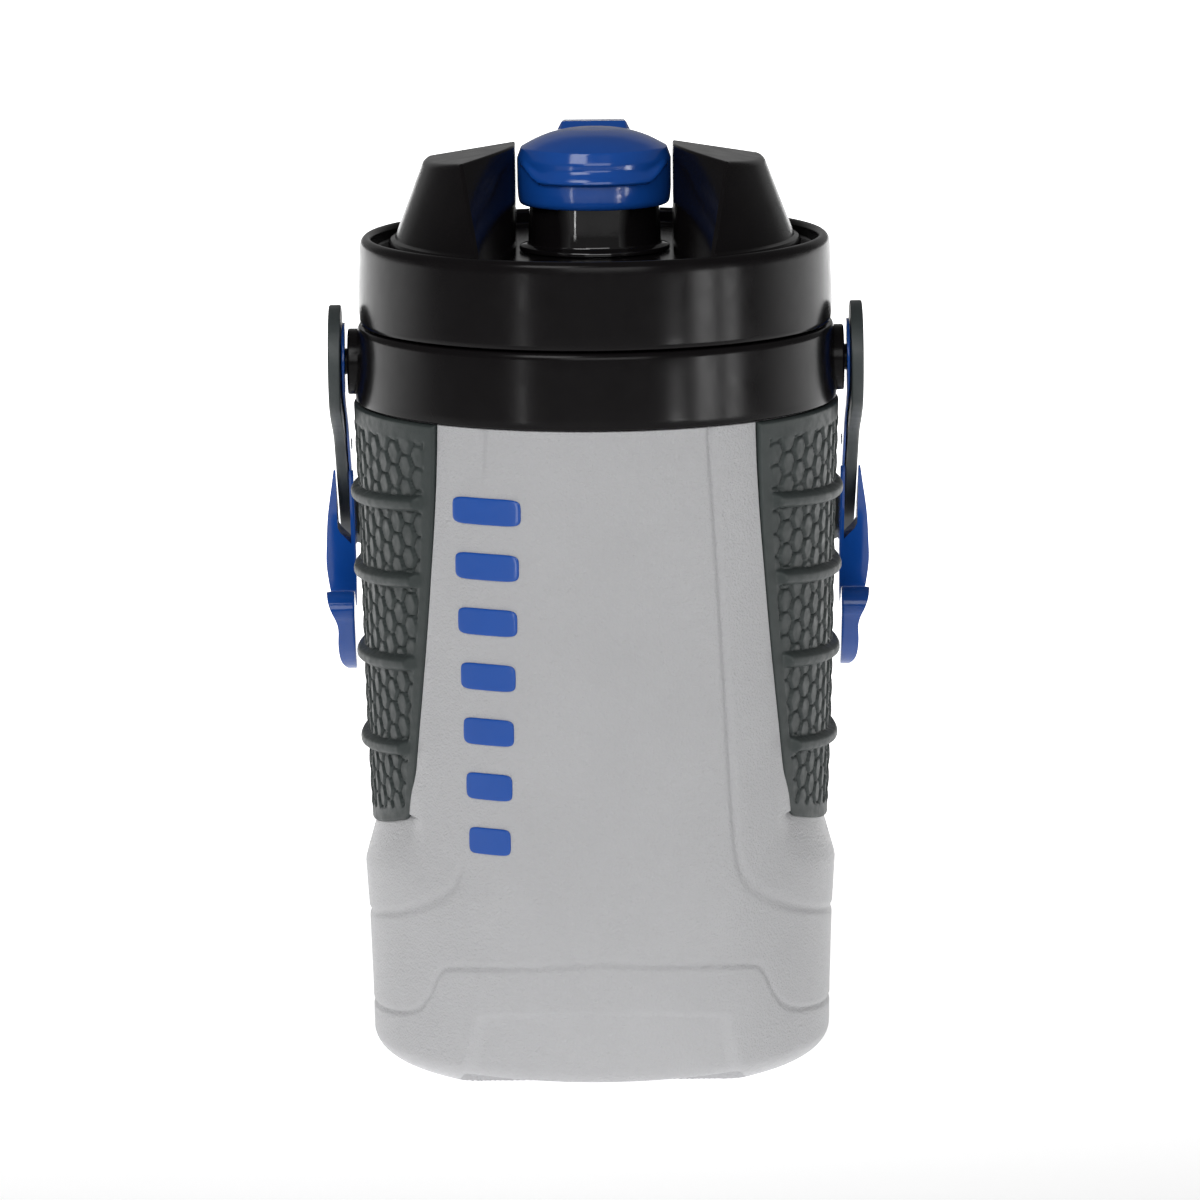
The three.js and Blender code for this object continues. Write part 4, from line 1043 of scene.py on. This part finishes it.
# the J's two edges upright, as (y, z)
HOOK_BACK = [(8.4, 57.5), (11, 64), (14.5, 71.5), (19, 81), (24, 89.5), (28, 94.3), (32, 96), (35.5, 93.8),
             (37.2, 88), (38, 80.6)]
HOOK_FRONT = [(8.4, 82), (8.9, 87), (11, 93.2), (14.8, 99.6), (20, 105.9), (26.5, 110.7), (33, 114.2),
              (39.5, 115.8), (47.3, 113.2), (51.8, 105), (51.8, 94), (47.8, 80.6)]
# the hook's outer edge and the slot for the arm, at rest and as seen from the front
HOOK_EDGE = [(78.2, 109.6), (80.4, 111.6), (81.8, 114), (82.4, 117), (82.6, 121), (82.4, 126.5), (83.2, 130),
             (84.5, 133), (85.6, 136.5), (86.5, 144), (86.3, 151), (85.6, 161), (84, 172), (82.7, 180),
             (80.2, 190)]
ARM_SLOT = [(78.42, 200), (ARM_OUT + 0.3, 200), (ARM_OUT + 0.3, 157), (ARM_OUT - 0.5, 155.2), (78.42, 151.4)]


def spline(points, count):
    """Points evenly spaced along a smooth curve through the given ones."""
    points = np.asarray(points, float)
    padded = np.concatenate([2 * points[:1] - points[1:2], points, 2 * points[-1:] - points[-2:-1]])
    t = np.linspace(0, 1, 12, endpoint=False)[:, None]
    parts = []
    for a, b, c, d in zip(padded, padded[1:], padded[2:], padded[3:]):
        parts.append(0.5 * (2 * b + (c - a) * t + (2 * a - 5 * b + 4 * c - d) * t ** 2
                            + (3 * b - a - 3 * c + d) * t ** 3))
    dense = np.concatenate(parts + [points[-1:]])
    lengths = np.concatenate([[0], np.cumsum(np.linalg.norm(np.diff(dense, axis=0), axis=1))])
    even = np.linspace(0, lengths[-1], count)
    return np.stack([np.interp(even, lengths, dense[:, k]) for k in range(dense.shape[1])], -1)


def mirror_x(piece):
    work = bmesh.new()
    work.from_mesh(piece.data)
    for vertex in work.verts:
        vertex.co.x *= -1
    bmesh.ops.reverse_faces(work, faces=work.faces)
    work.to_mesh(piece.data)
    work.free()


def from_the_front(outline, side):
    """A cutter that runs from front to back, with an outline as (distance from the middle, height)."""
    ends = [[(side * x, y, z) for x, z in outline] for y in (-20, 110)]
    return skin("cutter", np.array(ends, float), BLUE, caps=True)


def hook_j():
    """The stout J, at its full width, with a rounded tip."""
    back, front = spline(HOOK_BACK, 60), spline(HOOK_FRONT, 60)
    tip = np.linspace(0, 1, 9)[1:-1]
    drop, squeeze = 3.9 * np.sin(tip * np.pi / 2), np.cos(tip * np.pi / 2)
    middle = (back[-1] + front[-1]) / 2
    ends = [middle + (edge[-1] - middle) * squeeze[:, None] - np.array([0, 1]) * drop[:, None]
            for edge in (back, front)]
    back = np.concatenate([[(6.9, 56.5)], back, ends[0]])
    front = np.concatenate([[(6.9, 81)], front, ends[1]])
    places = ((back, HOOK_IN), (back, HOOK_OUT), (front, HOOK_OUT), (front, HOOK_IN))
    corners = [np.stack([0 * edge[:, 0] + x, edge[:, 0], edge[:, 1]], -1) for edge, x in places]
    return bar("hook", np.array(corners), [0.8, 1.6, 1.6, 0.8], BLUE, steps=5)


def hook_strap():
    """The thin strap along the arm's inner face, with an eye at its foot."""
    height = np.concatenate([-12 * np.cos(np.linspace(0, np.pi / 2, 12)), np.linspace(0, 86, 24)[1:]])
    wide = eye_half(height, 12, ARM_HALF - 0.6, 26)
    places = ((STRAP_IN, -1), (STRAP_IN, 1), (STRAP_OUT, 1), (STRAP_OUT, -1))
    plate = [np.stack([x + 0 * height, across * wide, height], -1) for x, across in places]
    return bar("strap", np.array(plate), [0.3] * 4, BLUE, steps=3)


def hook(side):
    """A fence hook: a strap with a J at its end, cut to its outer outline and to clear the arm."""
    made = combine(hook_j(), [hook_strap()], "UNION")
    holes = [rod(radius, 70, 90, 0, z, BLUE, rounding=0) for radius, z in (PIN_HOLE, RIVET_HOLE)]
    combine(made, holes, "DIFFERENCE")
    if side < 0:
        mirror_x(made)
    made.name = "fence_hook_right" if side > 0 else "fence_hook_left"
    outline = [(76, 109.6), *spline(HOOK_EDGE, 90), (80.2, 240), (76, 240)]
    combine(park(made), [from_the_front(outline, side)], "INTERSECT")
    return combine(made, [from_the_front(ARM_SLOT, side)], "DIFFERENCE")


def rivet(side):
    ends = sorted((side * 77.1, side * 82.2))
    made = park(rod(1.7, *ends, 0, RIVET_Z, STEEL, rounding=0.4, columns=32))
    made.name = "rivet_right" if side > 0 else "rivet_left"
    return made


fit(bail(), "handle", "handle_grey", "bail_handle")
for side, word in ((1, "right"), (-1, "left")):
    fit(hook(side), "handle", "blue_gloss", "hook_" + word)
    fit(rivet(side), "handle", "steel_pin", "hook_rivet_" + word)


# ------------------------------ foam, kept as the CAD has it

for node in ("foam_insulation", "lid_foam"):
    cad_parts[node].data.materials.clear()
    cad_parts[node].data.materials.append(FOAM)
